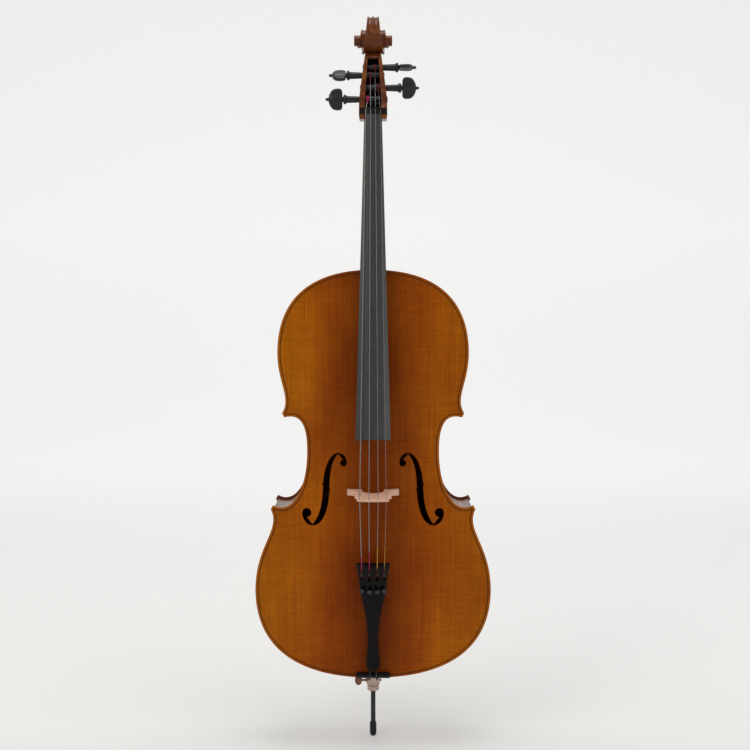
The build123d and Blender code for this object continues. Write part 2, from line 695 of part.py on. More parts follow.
def make_bridge(strings):
    """The bridge: two feet on the arching, a heart, waisted sides and a notch for each string."""
    right = [(x, -height) for x, height in BRIDGE_OUTLINE]
    feet = [(BRIDGE_FOOT_INNER, -10), (BRIDGE_FOOT_INNER, -24)]
    drop = BRIDGE_RADIUS - math.sqrt(BRIDGE_RADIUS ** 2 - BRIDGE_TOP_HALF ** 2)
    crown = ThreePointArc(
        (-BRIDGE_TOP_HALF, -(BRIDGE_TOP - drop)), (0, -BRIDGE_TOP), (BRIDGE_TOP_HALF, -(BRIDGE_TOP - drop)),
    )
    flank = [(BRIDGE_TOP_HALF, -(BRIDGE_TOP - drop)), *right, *feet]
    inner = ThreePointArc(feet[-1], (0, -BRIDGE_ARCH_TOP), (-feet[-1][0], feet[-1][1]))
    edges = [
        crown, *Polyline(*flank).edges(), inner,
        *Polyline(*[(-x, y) for x, y in flank[::-1]]).edges(),
    ]
    face = Face(Wire(edges))
    blank = Pos(0, TOP_FACE, 440) * Solid.extrude(face, Vector(0, 0, 80))
    heart = Pos(0, TOP_FACE - HEART_HEIGHT, BRIDGE_Z) * Cylinder(HEART_RADIUS, 80)
    bridge = (blank & polygon_x(BRIDGE_SIDE, 60)) - heart
    for string in strings.values():
        bridge = bridge - string
    return bridge - under_arch(TOP_ARCH, TOP_FACE, -1)


# The strings come first, because they cut their own grooves

strings = {name: make_string(name) for name in STRINGS}
for name, string in strings.items():
    save(string, f"string_{name}")
    save(make_winding(name), f"string_winding_{name}")
    save(make_ball(STRINGS[name]["tail"]), f"string_ball_{name}")
cord = make_cord(COLLAR_NECK + CORD_RADIUS)
save(cord, "tail_cord")

# Neck group

board = make_fingerboard()
nut = make_nut(board, strings)
save(board, "fingerboard")
save(nut, "nut")
save(make_neck(board, nut, strings), "neck_scroll")
for name in PEGS:
    save(Compound([part.solid() for part in make_peg(name)]), f"peg_{name}")

# Sound box: plates with f-holes, purfling, and the notches of the heel and the saddle

saddle = polygon_x(SADDLE_SIDE, SADDLE_HALF)
saddle = saddle - cord
save(saddle, "saddle")
saddle_notch = block(-SADDLE_HALF, SADDLE_HALF, -80, RIB_FRONT, BODY_BOTTOM - 1, 142)
heel_notch = heel_block() & block(-30, 30, -120, RIB_FRONT, HEEL_BOTTOM, BODY_TOP + 5)
purfling = ring(PURFLING_INSET, PURFLING_INSET + PURFLING_WIDTH, TOP_FACE, TOP_FACE + PURFLING_DEPTH)
purfling = purfling - saddle_notch - heel_notch
purfling_back = ring(PURFLING_INSET, PURFLING_INSET + PURFLING_WIDTH, BACK_FACE - PURFLING_DEPTH, BACK_FACE)
save(Compound([strip.solid() for strip in bout_strips(purfling).values()]), "purfling_front")
save(Compound([strip.solid() for strip in bout_strips(purfling_back).values()]), "purfling_back")

top = arched_plate(TOP_ARCH, RIB_FRONT, -1) - f_hole(1) - f_hole(-1)
top = top - purfling - saddle_notch - heel_notch
for name, half in halves(top).items():
    save(half, f"top_{name}")
back = arched_plate(BACK_ARCH, RIB_BACK, 1)
back = back + rod_y(0, BODY_TOP - 1, BUTTON_RADIUS, RIB_BACK, BACK_FACE) - purfling_back
for name, half in halves(back).items():
    save(half, f"back_{name}")

# Ribs, linings and blocks

heel = heel_block()
plug = rod_z(PLUG_RADIUS, COLLAR_FLANGE + COLLAR_NECK_LENGTH, PLUG_TOP)
ribs = ring(OVERHANG, INSIDE_INSET, RIB_FRONT, RIB_BACK) - heel - plug
for name, rib in bout_strips(ribs).items():
    save(rib, f"rib_{name}")

inside = prism_y(inset(INSIDE_INSET), RIB_FRONT, RIB_BACK)
neck_space = block(-NECK_BLOCK_HALF, NECK_BLOCK_HALF, -70, 70, BODY_TOP - NECK_BLOCK_HEIGHT, BODY_TOP)
end_space = block(-END_BLOCK_HALF, END_BLOCK_HALF, -70, 70, BODY_BOTTOM, BODY_BOTTOM + END_BLOCK_HEIGHT)
neck_block = (inside & neck_space) - heel
end_block = (inside & end_space) - plug
save(neck_block, "neck_block")
save(end_block, "end_block")
blocks = neck_block + end_block
for name, corner in (("lower", LOWER_CORNER), ("upper", UPPER_CORNER)):
    for hand, side in (("bass", -1), ("treble", 1)):
        reach = rod_y(side * corner[0], corner[1] + BODY_BOTTOM, CORNER_BLOCK, RIB_FRONT, RIB_BACK)
        corner_block = inside & reach
        save(corner_block, f"corner_block_{name}_{hand}")
        blocks = blocks + corner_block
lining_levels = {
    "front": (RIB_FRONT, RIB_FRONT + LINING_HEIGHT),
    "back": (RIB_BACK - LINING_HEIGHT, RIB_BACK),
}
for name, (start, end) in lining_levels.items():
    linings = ring(INSIDE_INSET, INSIDE_INSET + LINING_WIDTH, start, end) - blocks - heel
    save(linings, f"linings_{name}")

# Bass bar and sound post, fitted to the inside of the plates

top_inside = under_arch(TOP_ARCH, RIB_FRONT, -1)
bar = polygon_x(BASS_BAR_SIDE, 60) & block(*BASS_BAR_X, -120, -40, 0, 1000)
save(bar & top_inside, "bass_bar")
x, z, radius = SOUND_POST
post = rod_y(x, z, radius, -110, 110) & under_arch(TOP_ARCH, RIB_FRONT, -1, 300)
save(post & under_arch(BACK_ARCH, RIB_BACK, 1, 300), "sound_post")
save(make_bridge(strings), "bridge")

# Tailpiece and tuners

levers = {name: make_lever(STRINGS[name]["tail"]) for name in STRINGS}
tailpiece = TAIL_FRAME * make_tailpiece() - cord
pivot = TAIL_FRAME * Pos(0, PIVOT_DEPTH, -PIVOT_AT) * Rot(0, 90, 0) * Cylinder(PIVOT_RADIUS, 51)
for string in strings.values():
    tailpiece = tailpiece - string
save(tailpiece - pivot, "tailpiece")
save(pivot, "tuner_pivot_pin")
for name, lever in levers.items():
    save(lever, f"tuner_lever_{name}")
    save(make_tuner_screw(STRINGS[name]["tail"]), f"tuner_screw_{name}")

# Endpin

rod_bore = rod_z(ROD_RADIUS + SLIDE_FIT, 0, 400)
collar = rod_z(COLLAR_LOW_RADIUS, COLLAR_BOTTOM, COLLAR_STEP)
collar = collar + rod_z(COLLAR_RADIUS, COLLAR_STEP, COLLAR_FLANGE)
collar = collar + rod_z(COLLAR_NECK, COLLAR_FLANGE, COLLAR_FLANGE + COLLAR_NECK_LENGTH)
thread = rod_x(0, THUMBSCREW_Z, THUMBSCREW_RADIUS + SLIDE_FIT, -20, 0)
set_screw = rod_x(0, THUMBSCREW_Z, SET_SCREW_RADIUS, ROD_RADIUS + 1, COLLAR_RADIUS + 2.2)
save(collar - rod_bore - thread - set_screw, "endpin_collar")
save(set_screw, "endpin_set_screw")
save(plug - rod_bore, "endpin_plug")
save(rod_z(ROD_RADIUS, 8, ROD_TOP), "endpin_rod")
tip = rod_z(TIP_RADIUS, 3, TIP_TOP) + Pos(0, 0, 1.5) * Cone(TIP_RADIUS - 1.5, TIP_RADIUS, 3)
save(tip - rod_z(ROD_RADIUS, 8, ROD_TOP), "endpin_tip")
leaf = extrude(Ellipse(LEAF_HALF_WIDTH, LEAF_HALF_HEIGHT), amount=LEAF_HALF_THICK, both=True)
leaf = Pos(-COLLAR_RADIUS - LEAF_OFFSET, 0, THUMBSCREW_Z) * Rot(90, 0, 0) * leaf
thumbscrew = rod_x(0, THUMBSCREW_Z, THUMBSCREW_RADIUS, -COLLAR_RADIUS - 9, -ROD_RADIUS - 0.3) + leaf
save(thumbscrew, "endpin_thumbscrew")
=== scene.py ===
import math

import bmesh
import bpy
import numpy as np
from mathutils import Matrix, Vector
from mathutils.geometry import delaunay_2d_cdt

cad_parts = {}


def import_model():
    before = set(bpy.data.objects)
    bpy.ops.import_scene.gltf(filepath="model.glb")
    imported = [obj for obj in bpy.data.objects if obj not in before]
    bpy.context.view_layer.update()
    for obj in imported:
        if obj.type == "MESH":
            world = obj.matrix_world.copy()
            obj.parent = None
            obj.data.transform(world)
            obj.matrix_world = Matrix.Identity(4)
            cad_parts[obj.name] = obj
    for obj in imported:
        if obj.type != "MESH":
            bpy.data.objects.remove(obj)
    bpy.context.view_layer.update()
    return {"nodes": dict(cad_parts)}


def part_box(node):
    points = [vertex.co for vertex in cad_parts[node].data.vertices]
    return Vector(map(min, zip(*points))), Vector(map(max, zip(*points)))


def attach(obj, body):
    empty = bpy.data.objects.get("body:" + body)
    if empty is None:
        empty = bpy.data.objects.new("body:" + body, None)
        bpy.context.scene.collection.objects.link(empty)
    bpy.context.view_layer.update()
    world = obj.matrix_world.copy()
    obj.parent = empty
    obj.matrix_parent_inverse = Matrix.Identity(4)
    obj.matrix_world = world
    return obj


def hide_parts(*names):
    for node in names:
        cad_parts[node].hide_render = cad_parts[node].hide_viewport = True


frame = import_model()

# Metres throughout. +Z is up, the front of the cello faces -Y, +X is the treble side.
MM = 0.001
ROOT = "cello_body"
NODES = frame["nodes"]


def low(node):
    """The lowest corner of a CAD node."""
    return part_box(node)[0]


def high(node):
    """The highest corner of a CAD node."""
    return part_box(node)[1]


# ---------------------------------------------------------------- shape helpers

def cubic(points, steps):
    """Points along a cubic curve, or along a straight line, without the last one."""
    control = np.array(points, float)
    t = np.arange(steps)[:, None] / steps
    if len(control) == 2:
        return control[0] * (1 - t) + control[1] * t
    a, b, c, d = control
    return a * (1 - t) ** 3 + 3 * b * (1 - t) ** 2 * t + 3 * c * (1 - t) * t ** 2 + d * t ** 3


def through(position, knots, values):
    """A smooth curve through a few values (Catmull-Rom), level beyond its two ends."""
    position = np.clip(np.asarray(position, float), knots[0], knots[-1])
    k = np.array(knots, float)
    v = np.array(values, float)
    slope = np.zeros_like(v)
    slope[1:-1] = (v[2:] - v[:-2]) / (k[2:] - k[:-2])
    slope[0] = (v[1] - v[0]) / (k[1] - k[0])
    slope[-1] = (v[-1] - v[-2]) / (k[-1] - k[-2])
    i = np.clip(np.searchsorted(k, position, side="right") - 1, 0, len(k) - 2)
    span = k[i + 1] - k[i]
    t = (position - k[i]) / span
    return (
        v[i] * (1 + 2 * t) * (1 - t) ** 2 + slope[i] * span * t * (1 - t) ** 2
        + v[i + 1] * t * t * (3 - 2 * t) + slope[i + 1] * span * t * t * (t - 1)
    )


def evenly(points, spacing, closed=False):
    """The same line with its points a given distance apart."""
    line = np.array(points, float)
    if closed:
        line = np.vstack([line, line[:1]])
    steps = np.linalg.norm(np.diff(line, axis=0), axis=1)
    along = np.concatenate([[0], np.cumsum(steps)])
    count = max(2, int(round(along[-1] / spacing)) + 1)
    where = np.linspace(0, along[-1], count)
    result = np.stack([np.interp(where, along, line[:, i]) for i in range(line.shape[1])], axis=1)
    return result[:-1] if closed else result


def make_object(name, verts, faces, material, body=ROOT, sharp=40, nodes=()):
    """A mesh piece that rides on a body, shaded smooth except at its sharp edges."""
    mesh = bpy.data.meshes.new(name)
    mesh.from_pydata([tuple(v) for v in verts], [], [tuple(f) for f in faces])
    mesh.validate()
    obj = bpy.data.objects.new(name, mesh)
    bpy.context.scene.collection.objects.link(obj)
    return finish_piece(obj, material, body, sharp, nodes)


def finish_piece(obj, material, body=ROOT, sharp=40, nodes=()):
    """Clean a mesh piece, face it outwards, shade it, and give it its material, slot and body."""
    mesh = obj.data
    work = bmesh.new()
    work.from_mesh(mesh)
    bmesh.ops.remove_doubles(work, verts=work.verts, dist=2e-6)
    bmesh.ops.dissolve_degenerate(work, edges=work.edges, dist=1e-6)
    bmesh.ops.recalc_face_normals(work, faces=work.faces)
    work.to_mesh(mesh)
    work.free()
    for polygon in mesh.polygons:
        polygon.use_smooth = True
    mesh.set_sharp_from_angle(angle=math.radians(sharp))
    mesh.materials.clear()
    mesh.materials.append(material)
    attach(obj, body)
    if nodes:
        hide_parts(*nodes)
    return obj


def grid_faces(rows, columns, wrap=False, start=0):
    """Quads of a grid of points laid out row by row; wrap joins the last column to the first."""
    faces = []
    across = columns if wrap else columns - 1
    for row in range(rows - 1):
        for column in range(across):
            right = (column + 1) % columns
            a = start + row * columns + column
            b = start + row * columns + right
            faces.append((a, b, b + columns, a + columns))
    return faces


def closed_tube(rows, columns):
    """Quads of a tube laid out ring by ring, with a face over each end."""
    last = (rows - 1) * columns
    ends = [tuple(range(columns)), tuple(range(last, last + columns))[::-1]]
    return grid_faces(rows, columns, wrap=True) + ends


def metres(points):
    """Points given in millimetres, in metres."""
    return [tuple(value * MM for value in point) for point in points]


def circle(steps):
    """Cosine and sine of evenly spaced directions, once round."""
    angles = 2 * math.pi * np.arange(steps) / steps
    return list(zip(np.cos(angles).tolist(), np.sin(angles).tolist()))


def repaint(node, material):
    """Give a CAD node that stays in view its material."""
    data = NODES[node].data
    data.materials.clear()
    data.materials.append(material)


# ---------------------------------------------------------------- camera, light and floor

BODY_BOTTOM = low("back_treble").z
RIB_FRONT = low("rib_lower_treble").y
RIB_BACK = high("rib_lower_treble").y


def make_camera():
    """A long lens a little above the body's upper bout, looking slightly down."""
    data = bpy.data.cameras.new("camera")
    data.sensor_width = 36.0
    data.lens = 60.6
    camera = bpy.data.objects.new("camera", data)
    bpy.context.scene.collection.objects.link(camera)
    camera.location = (0.0035, RIB_FRONT - 2.3075, BODY_BOTTOM + 0.706)
    camera.rotation_euler = (math.radians(90 - 3.55), 0, 0)
    bpy.context.scene.camera = camera


def make_light(name, location, target, power, size, color=(1, 1, 1)):
    """A soft area light that points at a spot."""
    data = bpy.data.lights.new(name, "AREA")
    data.shape = "RECTANGLE"
    data.energy = power
    data.size, data.size_y = size
    data.color = color
    light = bpy.data.objects.new(name, data)
    light.location = location
    direction = Vector(target) - Vector(location)
    light.rotation_euler = direction.to_track_quat("-Z", "Y").to_euler()
    bpy.context.scene.collection.objects.link(light)


FLOOR_HALF = 9.0
FLOOR_FRONT = -7.0
SWEEP_START = 3.2
SWEEP_RADIUS = 1.2
WALL_TOP = 7.0


def make_floor():
    """A pale seamless floor that sweeps up behind the cello and glows more towards the back."""
    profile = [(FLOOR_FRONT, 0.0), (1.6, 0.0)]
    for angle in np.linspace(0, math.pi / 2, 13):
        profile.append((SWEEP_START + SWEEP_RADIUS * math.sin(angle), SWEEP_RADIUS * (1 - math.cos(angle))))
    profile.append((SWEEP_START + SWEEP_RADIUS, WALL_TOP))
    verts = [(x, y, z) for y, z in profile for x in (-FLOOR_HALF, FLOOR_HALF)]
    mesh = bpy.data.meshes.new("floor")
    mesh.from_pydata(verts, [], grid_faces(len(profile), 2))
    for polygon in mesh.polygons:
        polygon.use_smooth = True
    floor = bpy.data.objects.new("floor", mesh)
    bpy.context.scene.collection.objects.link(floor)
    material = bpy.data.materials.new("studio_floor")
    material.use_nodes = True
    tree = material.node_tree
    shader = tree.nodes["Principled BSDF"]
    shader.inputs["Base Color"].default_value = (0.60, 0.593, 0.575, 1)
    shader.inputs["Emission Color"].default_value = (1.0, 1.0, 1.0, 1)
    shader.inputs["Roughness"].default_value = 0.75
    shader.inputs["Specular IOR Level"].default_value = 0.15
    where = tree.nodes.new("ShaderNodeSeparateXYZ")
    tree.links.new(tree.nodes.new("ShaderNodeTexCoord").outputs["Object"], where.inputs[0])
    glow = tree.nodes.new("ShaderNodeMapRange")
    for key, value in (("From Min", 0.2), ("From Max", 3.6), ("To Min", 0.225), ("To Max", 0.48)):
        glow.inputs[key].default_value = value
    tree.links.new(where.outputs["Y"], glow.inputs["Value"])
    tree.links.new(glow.outputs["Result"], shader.inputs["Emission Strength"])
    mesh.materials.append(material)


def make_studio():
    """An even pale sky, five soft lights and plain colour rendering."""
    world = bpy.data.worlds.new("studio")
    world.use_nodes = True
    background = world.node_tree.nodes["Background"]
    background.inputs["Color"].default_value = (0.97, 0.985, 1.0, 1)
    background.inputs["Strength"].default_value = 0.42
    bpy.context.scene.world = world
    middle = (0, 0, 0.7)
    make_light("key", (-2.2, -2.6, 3.0), middle, 30, (1.6, 1.6), (1.0, 0.98, 0.95))
    make_light("fill", (2.6, -2.2, 1.6), middle, 14, (1.4, 2.2))
    make_light("top", (0, -0.2, 3.4), (0, 0, 0), 34, (1.8, 1.4))
    make_light("left_strip", (-1.9, 0.5, 1.4), middle, 7, (0.5, 2.2))
    make_light("right_strip", (1.9, 0.5, 1.4), middle, 7, (0.5, 2.2))
    view = bpy.context.scene.view_settings
    view.view_transform = "Standard"
    view.look = "None"
    view.exposure = 0.0
    view.gamma = 1.0


make_camera()
make_floor()
make_studio()


# ---------------------------------------------------------------- materials

class Nodes:
    """A short way to wire shader nodes."""

    def __init__(self, name):
        self.material = bpy.data.materials.new(name)
        self.material.use_nodes = True
        self.tree = self.material.node_tree
        self.shader = self.tree.nodes["Principled BSDF"]
        self.coord = self.tree.nodes.new("ShaderNodeTexCoord").outputs["Object"]

    def add(self, kind, **settings):
        node = self.tree.nodes.new(kind)
        for key, value in settings.items():
            setattr(node, key, value)
        return node

    def link(self, source, target):
        self.tree.links.new(source, target)

    def feed(self, value, socket):
        """Link a node's output, or set a colour or a number on the socket itself."""
        if hasattr(value, "is_output"):
            self.link(value, socket)
        elif hasattr(value, "__len__"):
            socket.default_value = (*value, 1)
        else:
            socket.default_value = value

    def mapping(self, scale=(1, 1, 1), source=None):
        node = self.add("ShaderNodeMapping")
        node.inputs["Scale"].default_value = scale
        self.link(source or self.coord, node.inputs["Vector"])
        return node.outputs["Vector"]

    def noise(self, vector, scale, detail=3.0, rough=0.5, distortion=0.0):
        node = self.add("ShaderNodeTexNoise")
        node.inputs["Scale"].default_value = scale
        node.inputs["Detail"].default_value = detail
        node.inputs["Roughness"].default_value = rough
        node.inputs["Distortion"].default_value = distortion
        self.link(vector, node.inputs["Vector"])
        return node.outputs["Fac"]

    def wave(self, vector, scale, axis):
        node = self.add("ShaderNodeTexWave", bands_direction=axis)
        node.inputs["Scale"].default_value = scale
        self.link(vector, node.inputs["Vector"])
        return node.outputs["Fac"]

    def ramp(self, source, stops):
        node = self.add("ShaderNodeValToRGB")
        elements = node.color_ramp.elements
        while len(elements) < len(stops):
            elements.new(0.5)
        for element, (position, color) in zip(elements, stops):
            element.position = position
            value = color if hasattr(color, "__len__") else (color, color, color)
            element.color = (*value, 1)
        self.link(source, node.inputs["Fac"])
        return node.outputs["Color"]

    def mix(self, factor, a, b, kind="MIX"):
        node = self.add("ShaderNodeMix", data_type="RGBA", blend_type=kind)
        self.feed(factor, node.inputs[0])
        self.feed(a, node.inputs[6])
        self.feed(b, node.inputs[7])
        return node.outputs[2]

    def tint(self, body, amount, pattern, start, shade, end):
        """Darken a colour towards a shade where a pattern is low."""
        marks = self.ramp(pattern, [(start, shade), (end, (1.0, 1.0, 1.0))])
        return self.mix(amount, body, marks, "MULTIPLY")

    def math(self, kind, a, b=0.0):
        node = self.add("ShaderNodeMath", operation=kind)
        self.feed(a, node.inputs[0])
        self.feed(b, node.inputs[1])
        return node.outputs[0]

    def between(self, value, low_value, high_value):
        above = self.math("GREATER_THAN", value, low_value)
        return self.math("MULTIPLY", above, self.math("LESS_THAN", value, high_value))

    def split(self, vector):
        node = self.add("ShaderNodeSeparateXYZ")
        self.link(vector, node.inputs[0])
        return node.outputs

    def scaled(self, value, low_value, high_value):
        node = self.add("ShaderNodeMapRange")
        node.inputs["To Min"].default_value = low_value
        node.inputs["To Max"].default_value = high_value
        self.link(value, node.inputs["Value"])
        return node.outputs["Result"]

    def bump(self, height, strength, distance):
        node = self.add("ShaderNodeBump")
        node.inputs["Strength"].default_value = strength
        node.inputs["Distance"].default_value = distance
        self.link(height, node.inputs["Height"])
        self.link(node.outputs["Normal"], self.shader.inputs["Normal"])

    def set(self, **values):
        names = {
            "color": "Base Color", "rough": "Roughness", "metal": "Metallic", "coat": "Coat Weight",
            "coat_rough": "Coat Roughness", "specular": "Specular IOR Level",
        }
        for key, value in values.items():
            self.feed(value, self.shader.inputs[names[key]])


def spruce_material():
    """Orange-brown varnish over straight spruce: fine upright grain, darker in the middle, golden flanks with
    a painted highlight.
    """
    m = Nodes("varnished_spruce")
    x, _, z = m.split(m.coord)
    width = m.math("ABSOLUTE", x)
    wobble = m.noise(m.mapping((3, 3, 1.2)), 2.0, 2.0)
    grain_x = m.math("ADD", x, m.math("MULTIPLY", wobble, 0.006))
    combine = m.add("ShaderNodeCombineXYZ")
    m.link(grain_x, combine.inputs[0])
    m.link(m.math("MULTIPLY", z, 0.015), combine.inputs[2])
    grain = m.noise(combine.outputs[0], 620.0, 2.0, 0.6)
    wide_grain = m.noise(combine.outputs[0], 150.0, 2.0, 0.5)
    cloud = m.noise(m.mapping((1, 1, 0.6)), 7.0, 3.0, 0.55)
    waves = m.noise(m.mapping((9, 9, 90)), 3.0, 2.0, 0.5, 0.3)
    body = m.ramp(cloud, [
        (0.30, (0.30, 0.052, 0.0016)), (0.5, (0.38, 0.080, 0.0022)), (0.72, (0.50, 0.130, 0.0030)),
    ])
    body = m.tint(body, 1.0, m.math("MULTIPLY", width, 6.5), 0.0, (0.50, 0.44, 0.36), 0.75)
    # Painted highlight: towards the flanks, beside and outside the f-holes, the colour is mixed to a lighter
    # gold, as if lit by the side lights.
    flank = m.math("MULTIPLY", m.ramp(m.math("MULTIPLY", width, 5.0), [(0.40, 0.0), (0.95, 1.0)]), cloud)
    body = m.mix(flank, body, (0.48, 0.160, 0.003))
    body = m.tint(body, 0.55, grain, 0.36, (0.70, 0.62, 0.58), 0.56)
    body = m.tint(body, 0.7, wide_grain, 0.35, (0.86, 0.82, 0.8), 0.6)
    body = m.tint(body, 0.6, waves, 0.38, (0.78, 0.76, 0.72), 0.6)
    m.set(color=body, rough=0.42, coat=0.04, coat_rough=0.2, specular=0.04)
    m.bump(grain, 0.10, 0.0003)
    return m.material


# The pegbox's opening, whose inside gets a painted shade of near black: its front line's Y at a Z and slope,
# and its limits.
PEGBOX_MOUTH_LINE = (-0.0418, 1.181, 0.3755)
PEGBOX_MOUTH_DEPTHS = (0.0035, 0.033)
PEGBOX_MOUTH_ENDS = (1.1765, 1.2765)
PEGBOX_MOUTH_HALF = 0.0156


def maple_material(name, stripe_scale, upright, pegbox=False, deep=1.0):
    """Red-brown varnish over flamed maple, with stripes across the grain, and with pegbox set a painted shade
    inside the pegbox's cavity.
    """
    m = Nodes(name)
    stretch = (0.10, 0.10, 1.0) if upright else (1.0, 0.06, 1.0)
    wobble = m.noise(m.mapping(), 9.0, 2.0)
    waved = m.add("ShaderNodeVectorMath", operation="SCALE")
    m.link(m.coord, waved.inputs[0])
    m.link(m.scaled(wobble, 0.975, 1.025), waved.inputs["Scale"])
    flame = m.noise(m.mapping(stretch, waved.outputs["Vector"]), stripe_scale, 2.0, 0.5, 0.3)
    cloud = m.noise(m.mapping(), 9.0, 3.0)
    pores = m.noise(m.mapping((60, 60, 4)), 30.0, 2.0)
    shades = [(0.125, 0.026, 0.005), (0.20, 0.050, 0.008), (0.33, 0.100, 0.014)]
    body = m.ramp(flame, [(at, [deep * c for c in shade]) for at, shade in zip((0.30, 0.50, 0.68), shades)])
    body = m.tint(body, 0.8, cloud, 0.3, (0.72, 0.66, 0.62), 0.7)
    body = m.tint(body, 0.5, pores, 0.35, (0.8, 0.75, 0.72), 0.5)
    # Painted shade: behind the pegbox's front line, between its cheeks, the cavity is coloured near black.
    if pegbox:
        x, y, z = m.split(m.coord)
        front_y, front_z, slope = PEGBOX_MOUTH_LINE
        front = m.math("ADD", m.math("MULTIPLY", m.math("SUBTRACT", z, front_z), slope), front_y)
        depth = m.math("SUBTRACT", y, front)
        behind_front = m.between(depth, *PEGBOX_MOUTH_DEPTHS)
        narrow = m.math("LESS_THAN", m.math("ABSOLUTE", x), PEGBOX_MOUTH_HALF)
        dark = m.math("MULTIPLY", m.math("MULTIPLY", behind_front, m.between(z, *PEGBOX_MOUTH_ENDS)), narrow)
        body = m.mix(dark, body, (0.010, 0.005, 0.004))
    m.set(color=body, rough=0.3, coat=0.25, coat_rough=0.12, specular=0.12)
    m.bump(pores, 0.08, 0.0002)
    return m.material


def ebony_material(name, shade, rough, grain_axis="Z", specular=0.5):
    """Dark wood with a faint grain and a soft hand polish."""
    m = Nodes(name)
    scale = {"Z": (90, 90, 3), "X": (3, 90, 90)}[grain_axis]
    grain = m.noise(m.mapping(scale), 6.0, 3.0, 0.6)
    dust = m.noise(m.mapping(), 40.0, 3.0)
    body = m.ramp(grain, [(0.3, [c * 0.7 for c in shade]), (0.7, [c * 1.35 for c in shade])])
    m.set(color=body, rough=m.scaled(dust, rough - 0.06, rough + 0.08), specular=specular)
    m.bump(grain, 0.12, 0.0002)
    return m.material


def pale_wood_material(name, shade, flecks=0.0):
    """Bare wood; flecks are the short dark rays of a bridge blank."""
    m = Nodes(name)
    grain = m.noise(m.mapping((120, 120, 6)), 6.0, 3.0, 0.6)
    body = m.ramp(grain, [(0.3, [c * 0.86 for c in shade]), (0.7, shade)])
    if flecks:
        spots = m.noise(m.mapping((60, 60, 420)), 5.0, 2.0, 0.5)
        body = m.mix(flecks, body, m.ramp(spots, [(0.56, (1, 1, 1)), (0.66, (0.62, 0.46, 0.34))]), "MULTIPLY")
    m.set(color=body, rough=0.55, specular=0.35)
    m.bump(grain, 0.15, 0.0002)
    return m.material


def plain_material(name, shade, rough, metal=0.0, grain=60.0, bump=0.05, **extra):
    """A finish with small changes of tone and gloss over its surface."""
    m = Nodes(name)
    tone = m.noise(m.mapping(), grain, 3.0)
    body = m.ramp(tone, [(0.3, [c * 0.9 for c in shade]), (0.7, [min(1.0, c * 1.08) for c in shade])])
    m.set(color=body, rough=m.scaled(tone, rough * 0.85, rough * 1.15), metal=metal, **extra)
    m.bump(tone, bump, 0.0002)
    return m.material


SPRUCE = spruce_material()
MAPLE_BACK = maple_material("varnished_maple_back", 95.0, True)
MAPLE_RIB = maple_material("varnished_maple_ribs", 95.0, False)
MAPLE_NECK = maple_material("varnished_maple_neck", 70.0, True, pegbox=True, deep=0.72)
EBONY = ebony_material("ebony", (0.036, 0.035, 0.034), 0.36)
EBONY_DARK = ebony_material("ebony_nut_and_saddle", (0.007, 0.006, 0.006), 0.36, "X", 0.15)
EBONY_PEG = ebony_material("ebony_pegs", (0.018, 0.016, 0.018), 0.34, "X", 0.32)
INSIDE = pale_wood_material("bare_spruce", (0.66, 0.50, 0.32))
BRIDGE_WOOD = pale_wood_material("bare_maple", (0.74, 0.45, 0.32), 0.8)
PURFLING = plain_material("purfling", (0.050, 0.020, 0.006), 0.42, grain=200.0, coat=0.04, specular=0.05)
BLACK_GLOSS = plain_material(
    "black_moulded", (0.006, 0.0045, 0.0045), 0.2, 0.0, 25.0, 0.02, coat=0.05, coat_rough=0.08, specular=0.06,
)
BLACK_METAL = plain_material("black_nickel", (0.045, 0.045, 0.05), 0.16, 0.9, 120.0)
NICKEL = plain_material("nickel", (0.44, 0.33, 0.275), 0.2, 0.95, 80.0)
ROD_METAL = plain_material("black_rod", (0.016, 0.016, 0.018), 0.35, 0.3, 90.0)
RUBBER = plain_material("rubber", (0.010, 0.010, 0.010), 0.62, 0.0, 200.0, 0.15, specular=0.3)
CORD = plain_material("cord", (0.02, 0.02, 0.021), 0.6, 0.0, 500.0, 0.3)
BROWN_LEAF = plain_material("brown_leaf", (0.21, 0.085, 0.04), 0.3, 0.2, 100.0)


# ---------------------------------------------------------------- plates

# Half outline of the plates, in millimetres: (half width, height over the body's bottom).
LOWER_RUN = [
    [(0, 0), (160, 0), (217.5, 72), (217.5, 165)],
    [(217.5, 165), (217.5, 247), (169, 278), (188.5, 315)],
]
WAIST_RUN = [
    [(184.3, 323), (152, 303), (121, 348), (121, 424)],
    [(121, 424), (121, 468), (131, 494), (163, 485)],
]
UPPER_RUN = [
    [(167, 493), (149, 521), (175, 548), (175, 603)],
    [(175, 603), (175, 695), (122, 755), (0, 755)],
]
PLATE_LENGTH = 755.0
PLATE_EDGE = 4.5
TOP_ARCH = 21.5
BACK_ARCH = 23.0
ARCH_DIP = 1.2


def run_points(run, end, spacing=3.0):
    """One side's stretch of outline between corners, evenly spaced, with its inward normals."""
    line = np.vstack([cubic(part, 60) for part in run] + [[end]])
    line = evenly(line, spacing)
    tangent = np.gradient(line, axis=0)
    tangent /= np.linalg.norm(tangent, axis=1)[:, None]
    return line, np.stack([-tangent[:, 1], tangent[:, 0]], axis=1)


RUNS = [
    run_points(LOWER_RUN, (188.5, 315)),
    run_points(WAIST_RUN, (163, 485)),
    run_points(UPPER_RUN, (0, PLATE_LENGTH)),
]
HALF_EDGE = np.vstack([line for line, normal in RUNS])


def edge_distance(points):
    """Distance of points of the treble half from the outline."""
    starts, ends = HALF_EDGE[:-1], HALF_EDGE[1:]
    along = ends - starts
    length2 = np.maximum((along ** 2).sum(axis=1), 1e-12)
    best = np.full(len(points), 1e9)
    for block in range(0, len(points), 4000):
        p = points[block:block + 4000, None, :] - starts[None]
        t = np.clip((p * along).sum(axis=2) / length2, 0, 1)
        gap = np.linalg.norm(p - t[:, :, None] * along, axis=2)
        best[block:block + 4000] = gap.min(axis=1)
    return best


